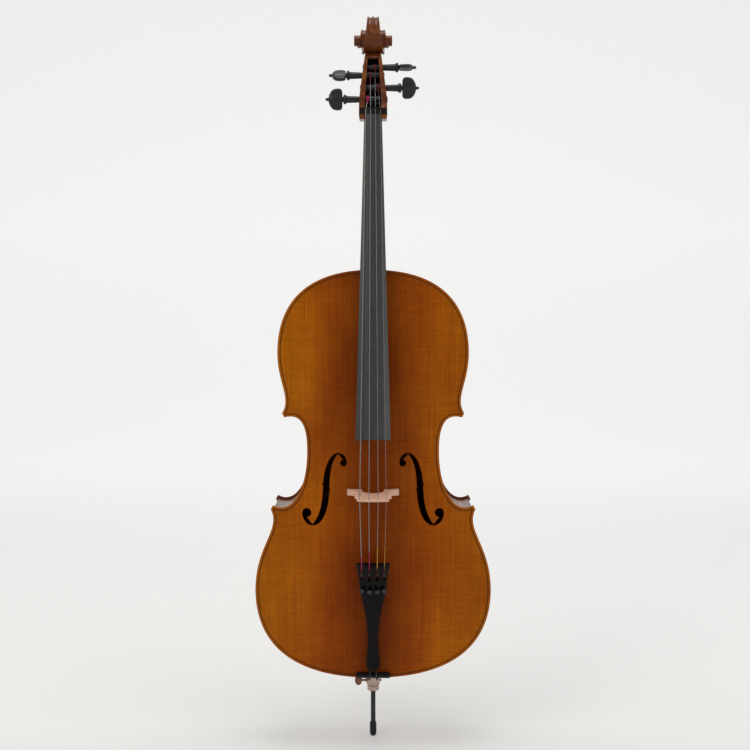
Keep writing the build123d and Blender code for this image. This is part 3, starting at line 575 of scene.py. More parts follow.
def arch_half_width(height):
    """Half width of the arched field, which runs past the corners."""
    lower, waist, upper = 208.0, 112.0, 166.0
    to_waist = 1 / (1 + np.exp(-(height - 300) / 22))
    to_upper = 1 / (1 + np.exp(-(height - 515) / 20))
    width = lower + (waist - lower) * to_waist + (upper - waist) * to_upper
    low_end = np.clip((height - 12) / 150, 0, 1)
    high_end = np.clip((PLATE_LENGTH - 12 - height) / 150, 0, 1)
    ends = np.sqrt(1 - (1 - low_end) ** 2.2) * np.sqrt(1 - (1 - high_end) ** 2.2)
    return np.maximum(8.0, width * ends)


def arch_height(x, height, rise):
    """Height of the arching over the lowest line of its channel."""
    along = (height - 377) / 365
    crest = (rise + ARCH_DIP) * np.maximum(0.0, 1 - np.abs(along) ** 3)
    across = np.cos(math.pi / 2 * np.minimum(1.0, np.abs(x) / arch_half_width(height))) ** 2
    return crest * across


def plate_height(points, rise):
    """Height of the worked plate: a raised lip, a shallow channel along the edge, then the arching."""
    distance = edge_distance(points)
    lip = np.interp(
        distance,
        [0, 1.2, 2.6, 3.6, 4.4, 5.8, 8.5, 12, 18],
        [-0.1, 0.1, 0.3, 0.05, -0.25, -0.75, -1.1, -1.2, -1.2],
    )
    arch = arch_height(points[:, 0], points[:, 1], rise)
    return lip + arch * np.clip((distance - 3) / 12, 0, 1)


# The treble f-hole: its outer and inner curves, the hook round its lower eye, and both eyes.
F_OUTER = [
    [(48.1, 405), (48.1, 413.8), (55.1, 421.1), (63.8, 421.1)],
    [(63.8, 421.1), (77.8, 421.1), (90.5, 395.1), (92, 361.1)],
    [(92, 361.1), (92.9, 327), (97.6, 305.8), (111.1, 288.8)],
]
F_HOOK = [(130.5, 309.6), (130.5, 297.6), (123, 286.2), (111.3, 286.2)]
F_INNER = [
    [(111.3, 286.2), (90.3, 286.2), (80.3, 321.1), (80.0, 356.4)],
    [(80.0, 356.4), (79.7, 384.5), (76.1, 405.6), (63.8, 418.7)],
]
F_LOWER_EYE = (122.0, 309.6, 8.4)
F_UPPER_EYE = (54.2, 402.3, 6.2)


def eye_arc(eye, start, end):
    """The round end of an f-hole between two directions, in degrees."""
    x, z, radius = eye
    angles = np.radians(np.linspace(start, end, 22))
    return np.stack([x + radius * np.cos(angles), z + radius * np.sin(angles)], axis=1)[:-1]


def f_loop():
    """The closed edge of the treble f-hole, with its two wings and nicks."""
    return np.vstack([
        cubic(F_OUTER[0], 8),
        cubic(F_OUTER[1], 20),
        [(91.9, 363.8), (95.0, 361.9), (92.0, 360.0)],
        cubic(F_OUTER[2], 20)[1:],
        cubic([(111.1, 288.8), (121.4, 301.2)], 4),
        eye_arc(F_LOWER_EYE, 266, 0),
        cubic(F_HOOK, 10),
        cubic(F_INNER[0], 20),
        [(80.1, 350.1), (77.0, 352.0), (80.1, 353.9)],
        cubic(F_INNER[1], 20)[1:],
        cubic([(63.8, 418.7), (54.9, 408.5)], 4),
        eye_arc(F_UPPER_EYE, 84, -204),
    ])


def inward(line, distance):
    """An open edge line moved inwards; its two ends slide along the centre line."""
    before = np.diff(line, axis=0, prepend=2 * line[:1] - line[1:2])
    after = np.diff(line, axis=0, append=2 * line[-1:] - line[-2:-1])
    before[0] = (1, 0)
    after[-1] = (-1, 0)
    before /= np.linalg.norm(before, axis=1)[:, None]
    after /= np.linalg.norm(after, axis=1)[:, None]
    normal = np.stack([-(before + after)[:, 1], (before + after)[:, 0]], axis=1)
    normal /= np.linalg.norm(normal, axis=1)[:, None]
    straight = np.stack([-before[:, 1], before[:, 0]], axis=1)
    cosine = np.maximum(0.5, (normal * straight).sum(axis=1))
    moved = line + normal * (distance / cosine)[:, None]
    moved[0, 0] = moved[-1, 0] = 0.0
    return moved


def inside(points, loop):
    """Which points lie inside a closed loop."""
    hit = np.zeros(len(points), bool)
    for a, b in zip(loop, np.roll(loop, -1, axis=0)):
        crosses = (a[1] > points[:, 1]) != (b[1] > points[:, 1])
        rise = b[1] - a[1] if b[1] != a[1] else 1e-9
        hit ^= crosses & (points[:, 0] < a[0] + (points[:, 1] - a[1]) * (b[0] - a[0]) / rise)
    return hit


# The plate's rounded rim: (distance in from the edge, depth below the face).
RIM = [(1.2, 0.0), (0.7, 0.12), (0.25, 0.6), (0.0, 1.5), (0.0, 3.0), (0.25, 3.9), (0.7, 4.38), (1.2, 4.5)]
# Distances from the edge where the plate's net has a ring of points, and the spacing of the rest.
RING_DISTANCES = (1.9, 2.6, 3.6, 4.4, 5.8, 7.2, 9.5, 12.5, 16, 20)
GRID = 5.5
BUTTON_RADIUS = 17.0
BUTTON_CENTRE = 754.0


def fill_between(loops, points):
    """A net of triangles inside the first loop and outside the others, over the points within."""
    constraints, start = [], 0
    for loop in loops:
        count = len(loop)
        constraints += [(start + i, start + (i + 1) % count) for i in range(count)]
        start += count
    net = delaunay_2d_cdt([Vector(p) for p in np.vstack([*loops, points])], constraints, [], 0, 1e-5)
    flat = np.array([tuple(v) for v in net[0]])
    triangles = np.array([tuple(face) for face in net[2]])
    middle = flat[triangles].mean(axis=1)
    keep = inside(middle, loops[0])
    for hole in loops[1:]:
        keep &= ~inside(middle, hole)
    return flat, triangles[keep]


def both_sides(triangles, count):
    """The triangles of a front face, and of a back face whose points follow the front's."""
    return [tuple(t) for t in triangles] + [tuple(t[::-1] + count) for t in triangles]


def gap_to(points, loop):
    """Distance of each point from the nearest point of a loop."""
    return np.linalg.norm(points[:, None] - loop[None], axis=2).min(axis=1)


def plate_points(edge, border, holes):
    """Points within a half plate: close rings along the edge and the holes, and a grid between."""
    fill = []
    for line, normal in RUNS:
        for distance in RING_DISTANCES:
            ring = line + normal * distance
            fill.append(ring[edge_distance(ring) > distance - 0.05])
    if edge[-1, 1] > PLATE_LENGTH + 5:
        angles = np.radians(np.arange(10, 90, 14))
        for radius in (4, 8, 12, 14.5):
            fill.append(radius * np.stack([np.cos(angles), np.sin(angles)], axis=1) + (0, BUTTON_CENTRE))
    x, z = np.meshgrid(np.arange(GRID, 220, GRID), np.arange(6, 752, GRID))
    grid = np.stack([x.ravel(), z.ravel()], axis=1)
    grid = grid[inside(grid, border)]
    fill.append(grid[edge_distance(grid) > RING_DISTANCES[-1] + 2.5])
    points = np.vstack(fill)
    points = points[points[:, 0] > 1.0]
    for hole in holes:
        points = points[(gap_to(points, hole) > 2.4) & ~inside(points, hole)]
        spaced = evenly(hole, 2.5, True)
        direction = np.roll(spaced, -1, axis=0) - np.roll(spaced, 1, axis=0)
        direction /= np.linalg.norm(direction, axis=1)[:, None]
        for sign in (1, -1):
            ring = spaced + sign * 1.6 * np.stack([direction[:, 1], -direction[:, 0]], axis=1)
            points = np.vstack([points, ring[(gap_to(ring, hole) > 1.2) & ~inside(ring, hole)]])
    return points


def make_plate(name, edge, rise, face_y, toward, side, holes, material, node):
    """Half of an arched plate with a rounded rim, as a closed solid."""
    rim = inward(edge, RIM[0][0])
    centre = np.stack([np.zeros(124), np.linspace(rim[-1, 1], rim[0, 1], 126)[1:-1]], axis=1)
    border = np.vstack([rim, centre])
    flat, triangles = fill_between([border, *holes], plate_points(edge, border, holes))
    height = plate_height(flat, rise)

    def world(line, level):
        return np.stack([
            side * line[:, 0] * MM, face_y + toward * level * MM, BODY_BOTTOM + line[:, 1] * MM,
        ], axis=1)

    count = len(flat)
    verts = [world(flat, height), world(flat, np.maximum(height - PLATE_EDGE, -PLATE_EDGE))]
    faces = both_sides(triangles, count)
    edges = dict.fromkeys((t[k], t[(k + 1) % 3]) for t in triangles.tolist() for k in range(3))
    on_rim = gap_to(flat, rim) < 1e-3
    for a, b in edges:
        if (b, a) not in edges and not (on_rim[a] and on_rim[b]):
            faces.append((a, a + count, b + count, b))
    top = plate_height(rim, rise)
    for distance, depth in RIM:
        verts.append(world(inward(edge, distance), top * (1 - depth / PLATE_EDGE) - depth))
    faces += grid_faces(len(RIM), len(rim), start=2 * count)
    make_object(name, np.vstack(verts), faces, material, sharp=50, nodes=[node])


def back_edge():
    """The back's half outline, whose upper end runs out round the button."""
    angles = np.radians(np.linspace(0, 90, 12))
    covered = int((HALF_EDGE[-60:, 0] < BUTTON_RADIUS + 1).sum())
    button = BUTTON_RADIUS * np.stack([np.cos(angles), np.sin(angles)], axis=1) + (0, BUTTON_CENTRE)
    edge = np.vstack([HALF_EDGE[:-covered], button])
    edge[-1, 0] = 0.0
    return edge


FACE_FRONT = RIB_FRONT - PLATE_EDGE * MM
FACE_BACK = RIB_BACK + PLATE_EDGE * MM

for side, word in ((1, "treble"), (-1, "bass")):
    make_plate(
        "top_plate_" + word, HALF_EDGE, TOP_ARCH, FACE_FRONT, -1, side, [f_loop()],
        SPRUCE, "top_" + word,
    )
    make_plate(
        "back_plate_" + word, back_edge(), BACK_ARCH, FACE_BACK, 1, side, [],
        MAPLE_BACK, "back_" + word,
    )


# ---------------------------------------------------------------- neck, pegbox and scroll

def bulk_cut(obj, cutters):
    """Cut closed shapes out of an object and throw the cutters away."""
    for cutter in cutters:
        change = obj.modifiers.new("cut", "BOOLEAN")
        change.operation = "DIFFERENCE"
        change.solver = "EXACT"
        change.object = cutter
    bpy.context.view_layer.update()
    evaluated = obj.evaluated_get(bpy.context.evaluated_depsgraph_get())
    mesh = bpy.data.meshes.new_from_object(evaluated)
    obj.modifiers.clear()
    obj.data = mesh
    for cutter in cutters:
        bpy.data.objects.remove(cutter)


def lathe(profile, axis="X", steps=32):
    """Verts and faces of a turned shape; the profile is (distance along the axis, radius), in millimetres."""
    verts = []
    for along, radius in profile:
        for c, s in circle(steps):
            a, b = radius * c, radius * s
            verts.append({"X": (along, a, b), "Z": (a, b, along)}[axis])
    return np.array(verts), closed_tube(len(profile), steps)


def merge(*parts):
    """Several lots of verts and faces as one."""
    verts, faces = [], []
    for part_verts, part_faces in parts:
        start = len(verts)
        verts += [tuple(v) for v in part_verts]
        faces += [tuple(i + start for i in face) for face in part_faces]
    return verts, faces


def raw_object(verts, faces):
    """A plain mesh object, for cutting with."""
    mesh = bpy.data.meshes.new("cutter")
    mesh.from_pydata(metres(verts), [], faces)
    obj = bpy.data.objects.new("cutter", mesh)
    bpy.context.scene.collection.objects.link(obj)
    return obj


SCROLL_EYE = (22.0, 1313.0)
TURN_ANGLES = [0, 90, 180, 270, 360, 450, 540, 630, 720, 810]
TURN_RADII = [36, 45, 33, 25.5, 22, 20.5, 17, 14, 11.5, 10.4]
TURN_HALVES = [11.2, 10, 14.5, 21, 21.5, 22, 24.5, 28, 32.5, 35]
LAST_TURN = TURN_ANGLES[-1]


def spiral(degrees):
    """A point (Y, Z) of the volute's outer edge."""
    radius = through(degrees, TURN_ANGLES, TURN_RADII)
    angle = np.radians(degrees)
    return np.stack([SCROLL_EYE[0] + radius * np.cos(angle), SCROLL_EYE[1] + radius * np.sin(angle)], axis=-1)


def spiral_half(degrees):
    """Half width of the volute's strip."""
    return through(degrees, TURN_ANGLES, TURN_HALVES)


def groove(share, depth):
    """Depth of the fluted back at a share of the way from the ridge to the edge."""
    return depth * np.interp(share, [0, 0.08, 0.25, 0.5, 0.75, 0.9, 1.0], [0, 0.1, 0.8, 1.0, 0.75, 0.0, 0.0])


SHARES = np.array([0, 0.08, 0.16, 0.25, 0.37, 0.5, 0.63, 0.75, 0.84, 0.91, 0.97, 1.0])
BEVEL = np.interp(SHARES, [0, 0.91, 0.97, 1.0], [0, 0, 0.25, 0.9])


def scroll_section(outer, inner, half, hidden, flute, cheek, depth):
    """One cross-section, round from the fluted back, over one cheek, the cavity, and the other cheek."""
    span = np.linalg.norm(np.subtract(inner, outer))
    back = [(hidden + (half - hidden) * u, groove(u, flute) + bevel) for u, bevel in zip(SHARES, BEVEL)]
    dish = min(1.0, span * 0.06)
    side = [
        (half - dish * 0.6, span * 0.25), (half - dish, span * 0.5), (half - dish * 0.8, span * 0.75),
        (half - 0.2, span - 1.0), (half - 0.9, span),
    ]
    floor = span - depth
    wall = [(cheek + 0.7, span), (cheek, span - 0.8), (cheek, floor + 2), (cheek - 2, floor)]
    right = back + side + wall
    points = [(x, t) for x, t in right] + [(-x, t) for x, t in right[::-1]]
    direction = np.subtract(inner, outer) / span
    return [(x, outer[0] + direction[0] * t, outer[1] + direction[1] * t) for x, t in points]


# The pegbox in side view, as (Z, Y), and its half widths as (Z, X).
PEGBOX_BACK = [
    (1155, -17.5), (1159, -13), (1165, -7.5), (1172, -2.5), (1190, 5), (1215, 12), (1235, 17.3), (1255, 23),
    (1279, 38),
]
PEGBOX_FRONT = [(1155, -47.6), (1162, -45), (1181, -41.8), (1279, -5)]
PEGBOX_HALVES = [(1154, 26.0), (1175, 26.0), (1196, 25.7), (1215, 23.9), (1250, 19.6), (1279, 16.0)]
CAVITY_FLOOR = [(1178, -38), (1183, -24), (1189, -8), (1252, 11), (1268, 15), (1273, 6), (1276, -5)]
CAVITY_HALVES = [(1175, 15.4), (1201, 14.4), (1274, 10)]
# From the pegbox to the volute: the back and the front as (Y, Z), and the half width.
THROAT_PATH = [
    ((38, 1279), (-5, 1279), 16), ((42.5, 1284.5), (2, 1284.5), 15.2), ((46.5, 1290), (9.5, 1288.5), 14.4),
    ((50, 1296), (17, 1290), 13.4), ((53, 1303), (25, 1291), 12.5), ((55.5, 1310.5), (34, 1296), 11.7),
    ((57.4, 1317.5), (41, 1304.5), 11.2),
]


def along_line(position, line):
    """The second value of a line of (position, value) at a position."""
    return float(np.interp(position, *zip(*line)))


def pegbox_section(z):
    """The pegbox's cross-section at a height."""
    back = float(through(z, *zip(*PEGBOX_BACK)))
    front = along_line(z, PEGBOX_FRONT)
    half = float(through(z, *zip(*PEGBOX_HALVES)))
    half -= max(0, 1166 - z) ** 2 * 0.05
    hollow = CAVITY_FLOOR[0][0] < z < CAVITY_FLOOR[-1][0]
    depth = max(0.8, along_line(z, CAVITY_FLOOR) - front) if hollow else 0.8
    flute = float(np.interp(z, [1156, 1200], [0.8, 1.8]))
    return scroll_section((back, z), (front, z), half, 0.0, flute, along_line(z, CAVITY_HALVES), depth)


def volute_section(degrees):
    """The volute's cross-section at an angle; each turn starts inside the one before it."""
    eye = np.array(SCROLL_EYE)
    outer = spiral(degrees)
    half = float(spiral_half(degrees))
    hidden = float(spiral_half(degrees - 360)) if degrees >= 370 else 0.0
    if 330 < degrees < 370:
        hidden = (degrees - 330) / 40 * TURN_HALVES[0]
    flute = 2.4 if degrees < 330 else 0.9
    if degrees + 360 <= LAST_TURN:
        inner = eye + (spiral(degrees + 360) - eye) * 0.88
    else:
        inner = eye + (outer - eye) * 0.06
    return scroll_section(outer, inner, half, max(0.0, hidden - 1.5), flute, half * 0.6, 0.6)


def make_scroll():
    """Pegbox and volute as one closed strip, from the chin to the eye."""
    levels = [1159.5, 1160.2, 1161.5, 1163.5, 1167, 1173, 1177.5, 1180, 1183, 1186, 1189.5]
    levels += [*range(1195, 1268, 5), 1269, 1271.5, 1273.5, 1275.5, 1277.5]
    sections = [pegbox_section(z) for z in levels]
    for outer, inner, half in THROAT_PATH:
        sections.append(scroll_section(outer, inner, half, 0.0, 2.3, half * 0.6, 0.6))
    sections += [volute_section(degrees) for degrees in [*range(16, 450, 10), *range(450, LAST_TURN + 1, 12)]]
    points = [point for section in sections for point in section]
    return points, closed_tube(len(sections), len(sections[0]))


# The neck's back and heel in side view, as (Z, Y), and the half widths at the front and the back.
NECK_BACK = [
    (902, 59.0), (905, 47), (909, 29), (914, 12), (920, -3), (928, -18), (938, -32), (950, -42.5),
    (965, -48.5), (985, -48.5), (1150, -19.5), (1172, -15.8),
]
NECK_HALVES = [(873, 21.5), (890, 21.0), (985, 19.6), (1172, 15.6)]
HEEL_HALVES = [(873, 16.5), (905, 16.5), (925, 14.0), (960, 12.0)]
HEEL_ROUNDNESS = [(900, 8.0), (935, 3.2), (965, 2.1)]
NECK_TILT = math.radians(10)
BODY_TOP = 886.0
BOARD_FRONT = -95.5
BOARD_THICK = [(-306, 15.0), (288, 9.5)]


def make_neck_shaft():
    """The heel and the neck, as level slices with a flat front and a rounded back."""
    levels = [873, 880, 887, 894, 899, 902, 905, 909, 914, 920, 928, 938, 950, 965, 985]
    levels += [*range(1010, 1150, 20), 1150, 1158, 1166, 1172]
    columns = 25
    verts = []
    for z in levels:
        up = (z - BODY_TOP) / math.cos(NECK_TILT) + 2
        front = BOARD_FRONT + math.sin(NECK_TILT) * up + math.cos(NECK_TILT) * along_line(up, BOARD_THICK)
        front = max(front, -84.5) if z < BODY_TOP + 1 else front
        half = along_line(z, NECK_HALVES)
        tail_half = along_line(z, HEEL_HALVES) if z < 965 else half
        back = along_line(z, NECK_BACK)
        power = 2 / along_line(z, HEEL_ROUNDNESS)
        for angle in np.linspace(0, math.pi, columns):
            share = abs(math.sin(angle)) ** power
            width = half + (tail_half - half) * share
            x = math.copysign(abs(math.cos(angle)) ** power, math.cos(angle)) * width
            verts.append((x, front + (back - front) * share, z))
    return verts, closed_tube(len(levels), columns)


PEGS = {
    "c": dict(y=-20.5, z=1198.5, side=-1, turn=90.0),
    "a": dict(y=-13.0, z=1220.5, side=1, turn=72.0),
    "g": dict(y=-2.5, z=1245.0, side=-1, turn=33.0),
    "d": dict(y=3.0, z=1260.5, side=1, turn=0.0),
}
PEG_HOLE = 5.8

EYE_BOSS = [
    (-35.5, 7.6), (-35.4, 8.8), (-34.8, 9.6), (-34.0, 9.9),
    (34.0, 9.9), (34.8, 9.6), (35.4, 8.8), (35.5, 7.6),
]
boss_verts, boss_faces = lathe(EYE_BOSS, steps=40)
verts, faces = merge(make_scroll(), (boss_verts + np.array((0, *SCROLL_EYE)), boss_faces))
scroll = make_object(
    "scroll_and_pegbox", metres(verts), faces, MAPLE_NECK, sharp=48, nodes=["neck_scroll"],
)
cutters = []
for peg in PEGS.values():
    verts, faces = lathe([(-45, PEG_HOLE), (45, PEG_HOLE)])
    cutters.append(raw_object(verts + np.array((0, peg["y"], peg["z"])), faces))
bulk_cut(scroll, cutters)
finish_piece(scroll, MAPLE_NECK, sharp=48)
verts, faces = make_neck_shaft()
make_object(
    "neck_and_heel", metres(verts), faces, MAPLE_NECK, sharp=50, nodes=["neck_scroll"],
)


# ---------------------------------------------------------------- pegs

PEG_REACH = 23.5
PEG_COLLAR_LENGTH = 5.0
PEG_HEAD_LENGTH = 28.0
# The head's half outline from the notch at the shank to the tip: distance, half width, half thickness.
PEG_HEAD = [
    (6.2, 3.0, 4.4), (5.6, 5.0, 4.9), (4.2, 7.2, 5.1), (2.9, 9.8, 5.2), (2.2, 12.8, 5.2), (2.6, 15.8, 5.3),
    (4.2, 18.4, 5.4), (7.2, 19.8, 5.7), (10.5, 20.0, 6.0), (14.5, 19.7, 6.3), (18.0, 18.8, 6.4),
    (21.0, 16.9, 6.1), (23.6, 13.9, 5.4), (25.6, 10.4, 4.4), (27.0, 6.8, 3.1), (27.8, 3.2, 1.6),
    (28.0, 0.6, 0.6),
]
PEG_PIP = [(-4.2, 1.6), (-3.0, 2.0), (-2.4, 2.7), (-1, 3.0), (0.8, 2.8), (2.2, 2.0), (3.0, 0.7)]


def peg_head(start):
    """The heart-shaped head of a peg, wide along Z and dished on both faces, from a distance along X."""
    steps = 44
    verts = []
    for along, half, thick in PEG_HEAD:
        hollow = 0.42 * math.sin(math.pi * min(1, (along + 1.5) / 27)) ** 0.7
        for c, s in circle(steps):
            u = math.copysign(abs(c) ** 0.9, c)
            v = math.copysign(abs(s) ** 0.75, s)
            dish = hollow * math.exp(-((abs(u) - 0.5) / 0.26) ** 2)
            verts.append((start + along, v * thick * (1 - dish), u * half))
    return verts, closed_tube(len(PEG_HEAD), steps)


def make_peg(name):
    """A peg: tapered shaft, turned collar, heart-shaped head and pip."""
    peg = PEGS[name]
    cheek = float(np.interp(peg["z"], [1196, 1279], [26, 16]))
    collar = cheek + PEG_REACH
    head = collar + PEG_COLLAR_LENGTH
    tip = head + PEG_HEAD_LENGTH + 2.4
    shaft = lathe([(-cheek - 1, 4.6), (-cheek - 0.4, 5.4), (-cheek, 5.55), (cheek, 5.65), (collar + 1, 6.6)])
    ring = lathe([
        (collar - 0.6, 6.4), (collar, 7.6), (collar + 0.5, 8.5), (collar + 1.5, 8.85), (collar + 3.5, 8.85),
        (collar + 4.5, 8.4), (collar + 5.2, 7.0), (head + 0.8, 4.9), (head + 2.4, 4.2), (head + 5.0, 4.3),
        (head + 8.0, 4.5),
    ])
    pip = lathe([(tip + along, radius) for along, radius in PEG_PIP], steps=20)
    verts, faces = merge(shaft, ring, peg_head(head), pip)
    turn = Matrix.Rotation(math.radians(90 - peg["turn"]), 4, "X")
    side = Matrix.Rotation(0.0 if peg["side"] > 0 else math.pi, 4, "Z")
    matrix = Matrix.Translation((0, peg["y"], peg["z"])) @ side @ turn
    verts = metres(matrix @ Vector(v) for v in verts)
    body = f"peg_{name}_body"
    make_object(f"peg_{name}_turned", verts, faces, EBONY_PEG, body, 45, ["peg_" + name])


for name in PEGS:
    make_peg(name)


# ---------------------------------------------------------------- strings and their silks

STRINGS = {
    "c": dict(r=0.85, tail=-20.4, silk_low=373.0, silk_high=1191.0, wind=-10.2, pink=True),
    "g": dict(r=0.70, tail=-6.6, silk_low=384.0, silk_high=1226.0, wind=-5.4, pink=True),
    "d": dict(r=0.55, tail=7.4, silk_low=395.0, silk_high=1236.0, wind=3.4, pink=False),
    "a": dict(r=0.40, tail=20.4, silk_low=393.0, silk_high=1205.0, wind=9.2, pink=False),
}
PINK = (0.42, 0.006, 0.085)
GOLD = (0.62, 0.34, 0.06)
WINE = (0.11, 0.005, 0.012)
SILK_PINK = plain_material("silk_pink", PINK, 0.55, 0.0, 600.0, 0.2)
SILK_WINE = plain_material("silk_wine", WINE, 0.6, 0.0, 600.0, 0.2)
WINDING_LENGTH = 6.4


def string_material(name):
    """Wound steel, wrapped in coloured silk near the tailpiece and near the peg."""
    string = STRINGS[name]
    m = Nodes("string_" + name + "_steel_and_silk")
    _, _, z = m.split(m.coord)
    ridges = m.wave(m.mapping((0, 0, 1)), 1500.0, "Z")
    flat = m.noise(m.mapping(), 300.0, 2.0)
    steel = m.ramp(ridges, [(0.2, (0.16, 0.15, 0.145)), (0.8, (0.34, 0.32, 0.29))])
    tint = PINK if string["pink"] else GOLD
    thread = m.ramp(flat, [(0.35, [c * 0.75 for c in tint]), (0.65, tint)])
    low_silk = m.math("LESS_THAN", z, string["silk_low"] * MM)
    high_silk = m.math("GREATER_THAN", z, string["silk_high"] * MM)
    body = m.mix(low_silk, steel, thread)
    body = m.mix(high_silk, body, PINK if name == "c" else WINE)
    silk = m.math("ADD", low_silk, high_silk)
    m.set(color=body, metal=m.scaled(silk, 0.9, 0.0), rough=m.scaled(silk, 0.34, 0.6))
    m.bump(ridges, 0.2, 0.0001)
    return m.material


for name in STRINGS:
    repaint("string_" + name, string_material(name))


def tube(line, radius, steps=8):
    """A round tube along a line, closed at both ends."""
    line = np.array(line, float)
    tangent = np.gradient(line, axis=0)
    tangent /= np.linalg.norm(tangent, axis=1)[:, None]
    side = np.cross(tangent[0], (0.31, 0.72, 0.62))
    verts = []
    for p, t in zip(line, tangent):
        side = side - t * np.dot(side, t)
        side /= np.linalg.norm(side)
        other = np.cross(t, side)
        verts += [p + radius * (a * side + b * other) for a, b in circle(steps)]
    return verts, closed_tube(len(line), steps)


def make_winding(name):
    """The turns of a string round its peg, as a close coil."""
    string, peg = STRINGS[name], PEGS[name]
    radius = string["r"]
    length = WINDING_LENGTH - 2 * radius
    turns = length / (2 * radius * 1.04)
    reach = 5.68 + radius
    line = []
    for share in np.linspace(0, 1, int(turns * 26) + 1):
        angle = 2 * math.pi * turns * share
        x = string["wind"] + (share - 0.5) * length
        line.append((x, peg["y"] + reach * math.cos(angle), peg["z"] + reach * math.sin(angle)))
    verts, faces = tube(line, radius)
    paint = SILK_PINK if name == "c" else SILK_WINE
    make_object(
        "string_coil_" + name, metres(verts), faces, paint, f"peg_{name}_body", 60,
        ["string_winding_" + name],
    )


for name in STRINGS:
    make_winding(name)


# ---------------------------------------------------------------- bridge

def smooth_line(points, spacing):
    """A curve through a few points, evenly spaced."""
    points = np.array(points, float)
    along = np.concatenate([[0], np.cumsum(np.linalg.norm(np.diff(points, axis=0), axis=1))])
    fine = np.linspace(0, along[-1], 400)
    curve_line = np.stack([through(fine, along, points[:, 0]), through(fine, along, points[:, 1])], axis=1)
    return evenly(curve_line, spacing)


def face_rim(loop, outline):
    """A loop drawn half a millimetre into the wood, where the rounded edge meets the face."""
    ahead, behind = np.roll(loop, -1, axis=0), np.roll(loop, 1, axis=0)
    direction = (ahead - behind) / np.linalg.norm(ahead - behind, axis=1)[:, None]
    normal = np.stack([-direction[:, 1], direction[:, 0]], axis=1)
    probe = inside(loop + normal * 0.05, loop)
    if loop is not outline:
        probe = ~probe
    normal[~probe] *= -1
    return loop + normal * 0.5


def make_bridge(outline, holes, spacing=4.0):
    """The bridge: an outline with holes in (X, height), between a front and a back face, with round edges."""
    x, h = np.meshgrid(np.arange(-60, 60, spacing), np.arange(5, 125, spacing))
    points = np.stack([x.ravel(), h.ravel()], axis=1)
    points = points[inside(points, outline)]
    loops = [outline] + holes
    for loop in loops:
        points = points[gap_to(points, loop) > spacing * 0.6]
    for hole in holes:
        points = points[~inside(points, hole)]
    rims = [face_rim(loop, outline) for loop in loops]
    flat, triangles = fill_between(rims, points)

    def world(line, z):
        return np.stack([line[:, 0] * MM, FACE_FRONT - line[:, 1] * MM, z * MM], axis=1)

    count = len(flat)
    verts = [world(flat, bridge_front(flat)), world(flat, bridge_back(flat))]
    faces = both_sides(triangles, count)
    first = 2 * count
    for loop, rim in zip(loops, rims):
        verts += [
            world(rim, bridge_front(rim)), world(loop, bridge_front(loop) + 0.4),
            world(loop, bridge_back(loop) - 0.4), world(rim, bridge_back(rim)),
        ]
        faces += grid_faces(4, len(loop), wrap=True, start=first)
        first += 4 * len(loop)
    make_object(
        "bridge_carved", np.vstack(verts), faces, BRIDGE_WOOD, sharp=35, nodes=["bridge"],
    )


def foot_height(x):
    """Height of the top's surface under the bridge."""
    return plate_height(np.array([[abs(v), 348.5] for v in x]), TOP_ARCH) + 0.05


# The bridge, as (X, height over the top's flat border).
BRIDGE_TOP = 112.5
BRIDGE_TOP_HALF = 28.0
BRIDGE_RADIUS = 63.0
BRIDGE_FOOT = (47.2, 19.8)
BRIDGE_LEVELS = (-13.5, 118.5)
BRIDGE_FRONT = (475.3, 478.1)
BRIDGE_BACK = (488.7, 480.9)
BRIDGE_FLANK = [
    (28.0, 105.4), (28.2, 102.0), (26.5, 98), (22.0, 92), (20.6, 86), (22.5, 80), (28.0, 76.5), (32.0, 72),
    (33.0, 67), (30.5, 63.0), (27.3, 58), (27.0, 51), (30.5, 42), (35.0, 34.5), (40.5, 29.0), (46.2, 25.5),
    (47.2, 23.5),
]
BRIDGE_ARCH = [(19.8, 25.5), (20.6, 31), (19.5, 38), (14, 46.5), (7, 51.5), (0, 53.0)]
BRIDGE_HEART = [(0, 77.5), (3.4, 81.5), (6.6, 86.0), (6.5, 89.4), (3.9, 91.2), (1.2, 89.4), (0, 86.6)]


def bridge_front(points):
    """Z of the bridge's face towards the tailpiece."""
    return np.interp(points[:, 1], BRIDGE_LEVELS, BRIDGE_FRONT)


def bridge_back(points):
    """Z of the bridge's face towards the fingerboard."""
    return np.interp(points[:, 1], BRIDGE_LEVELS, BRIDGE_BACK)


def mirrored(half):
    """A closed loop from its treble half."""
    return np.vstack([half, (half[1:-1] * (-1, 1))[::-1]])


def bridge_outline():
    """The crown, one flank, the foot and the arch, and the same mirrored."""
    foot_x = np.linspace(*BRIDGE_FOOT, 12)
    foot = np.stack([foot_x, foot_height(foot_x)], axis=1)
    top_x = np.linspace(0, BRIDGE_TOP_HALF, 16)[:-1]
    drop = BRIDGE_RADIUS - np.sqrt(BRIDGE_RADIUS ** 2 - top_x ** 2)
    crown = np.stack([top_x, BRIDGE_TOP - drop], axis=1)
    return mirrored(np.vstack([crown, smooth_line(BRIDGE_FLANK, 1.6), foot, smooth_line(BRIDGE_ARCH, 1.6)]))


make_bridge(bridge_outline(), [mirrored(smooth_line(BRIDGE_HEART, 0.9))])


# ---------------------------------------------------------------- tailpiece and fine tuners

# The tailpiece's top as (Y, Z), and how far down and back a step along it goes.
TAIL_TOP = (-137.95, 356)
TAIL_TILT = (0.9578, 0.2874)
TAIL_LENGTH = 219
TAIL_STATIONS = [0, 22, 62, 90, 113, 150, 188, 205, 212, 219]
TAIL_HALVES = [30.5, 27.0, 21.6, 16.2, 12.4, 9.4, 11.2, 12.4, 11.6, 7.5]
TAIL_RADIUS = 48
SLOT_ENDS = (11.6, 28.4)
SLOT_HALF = 2.6
SCREW_STATION = 48
SCREW_HOLE = 1.56


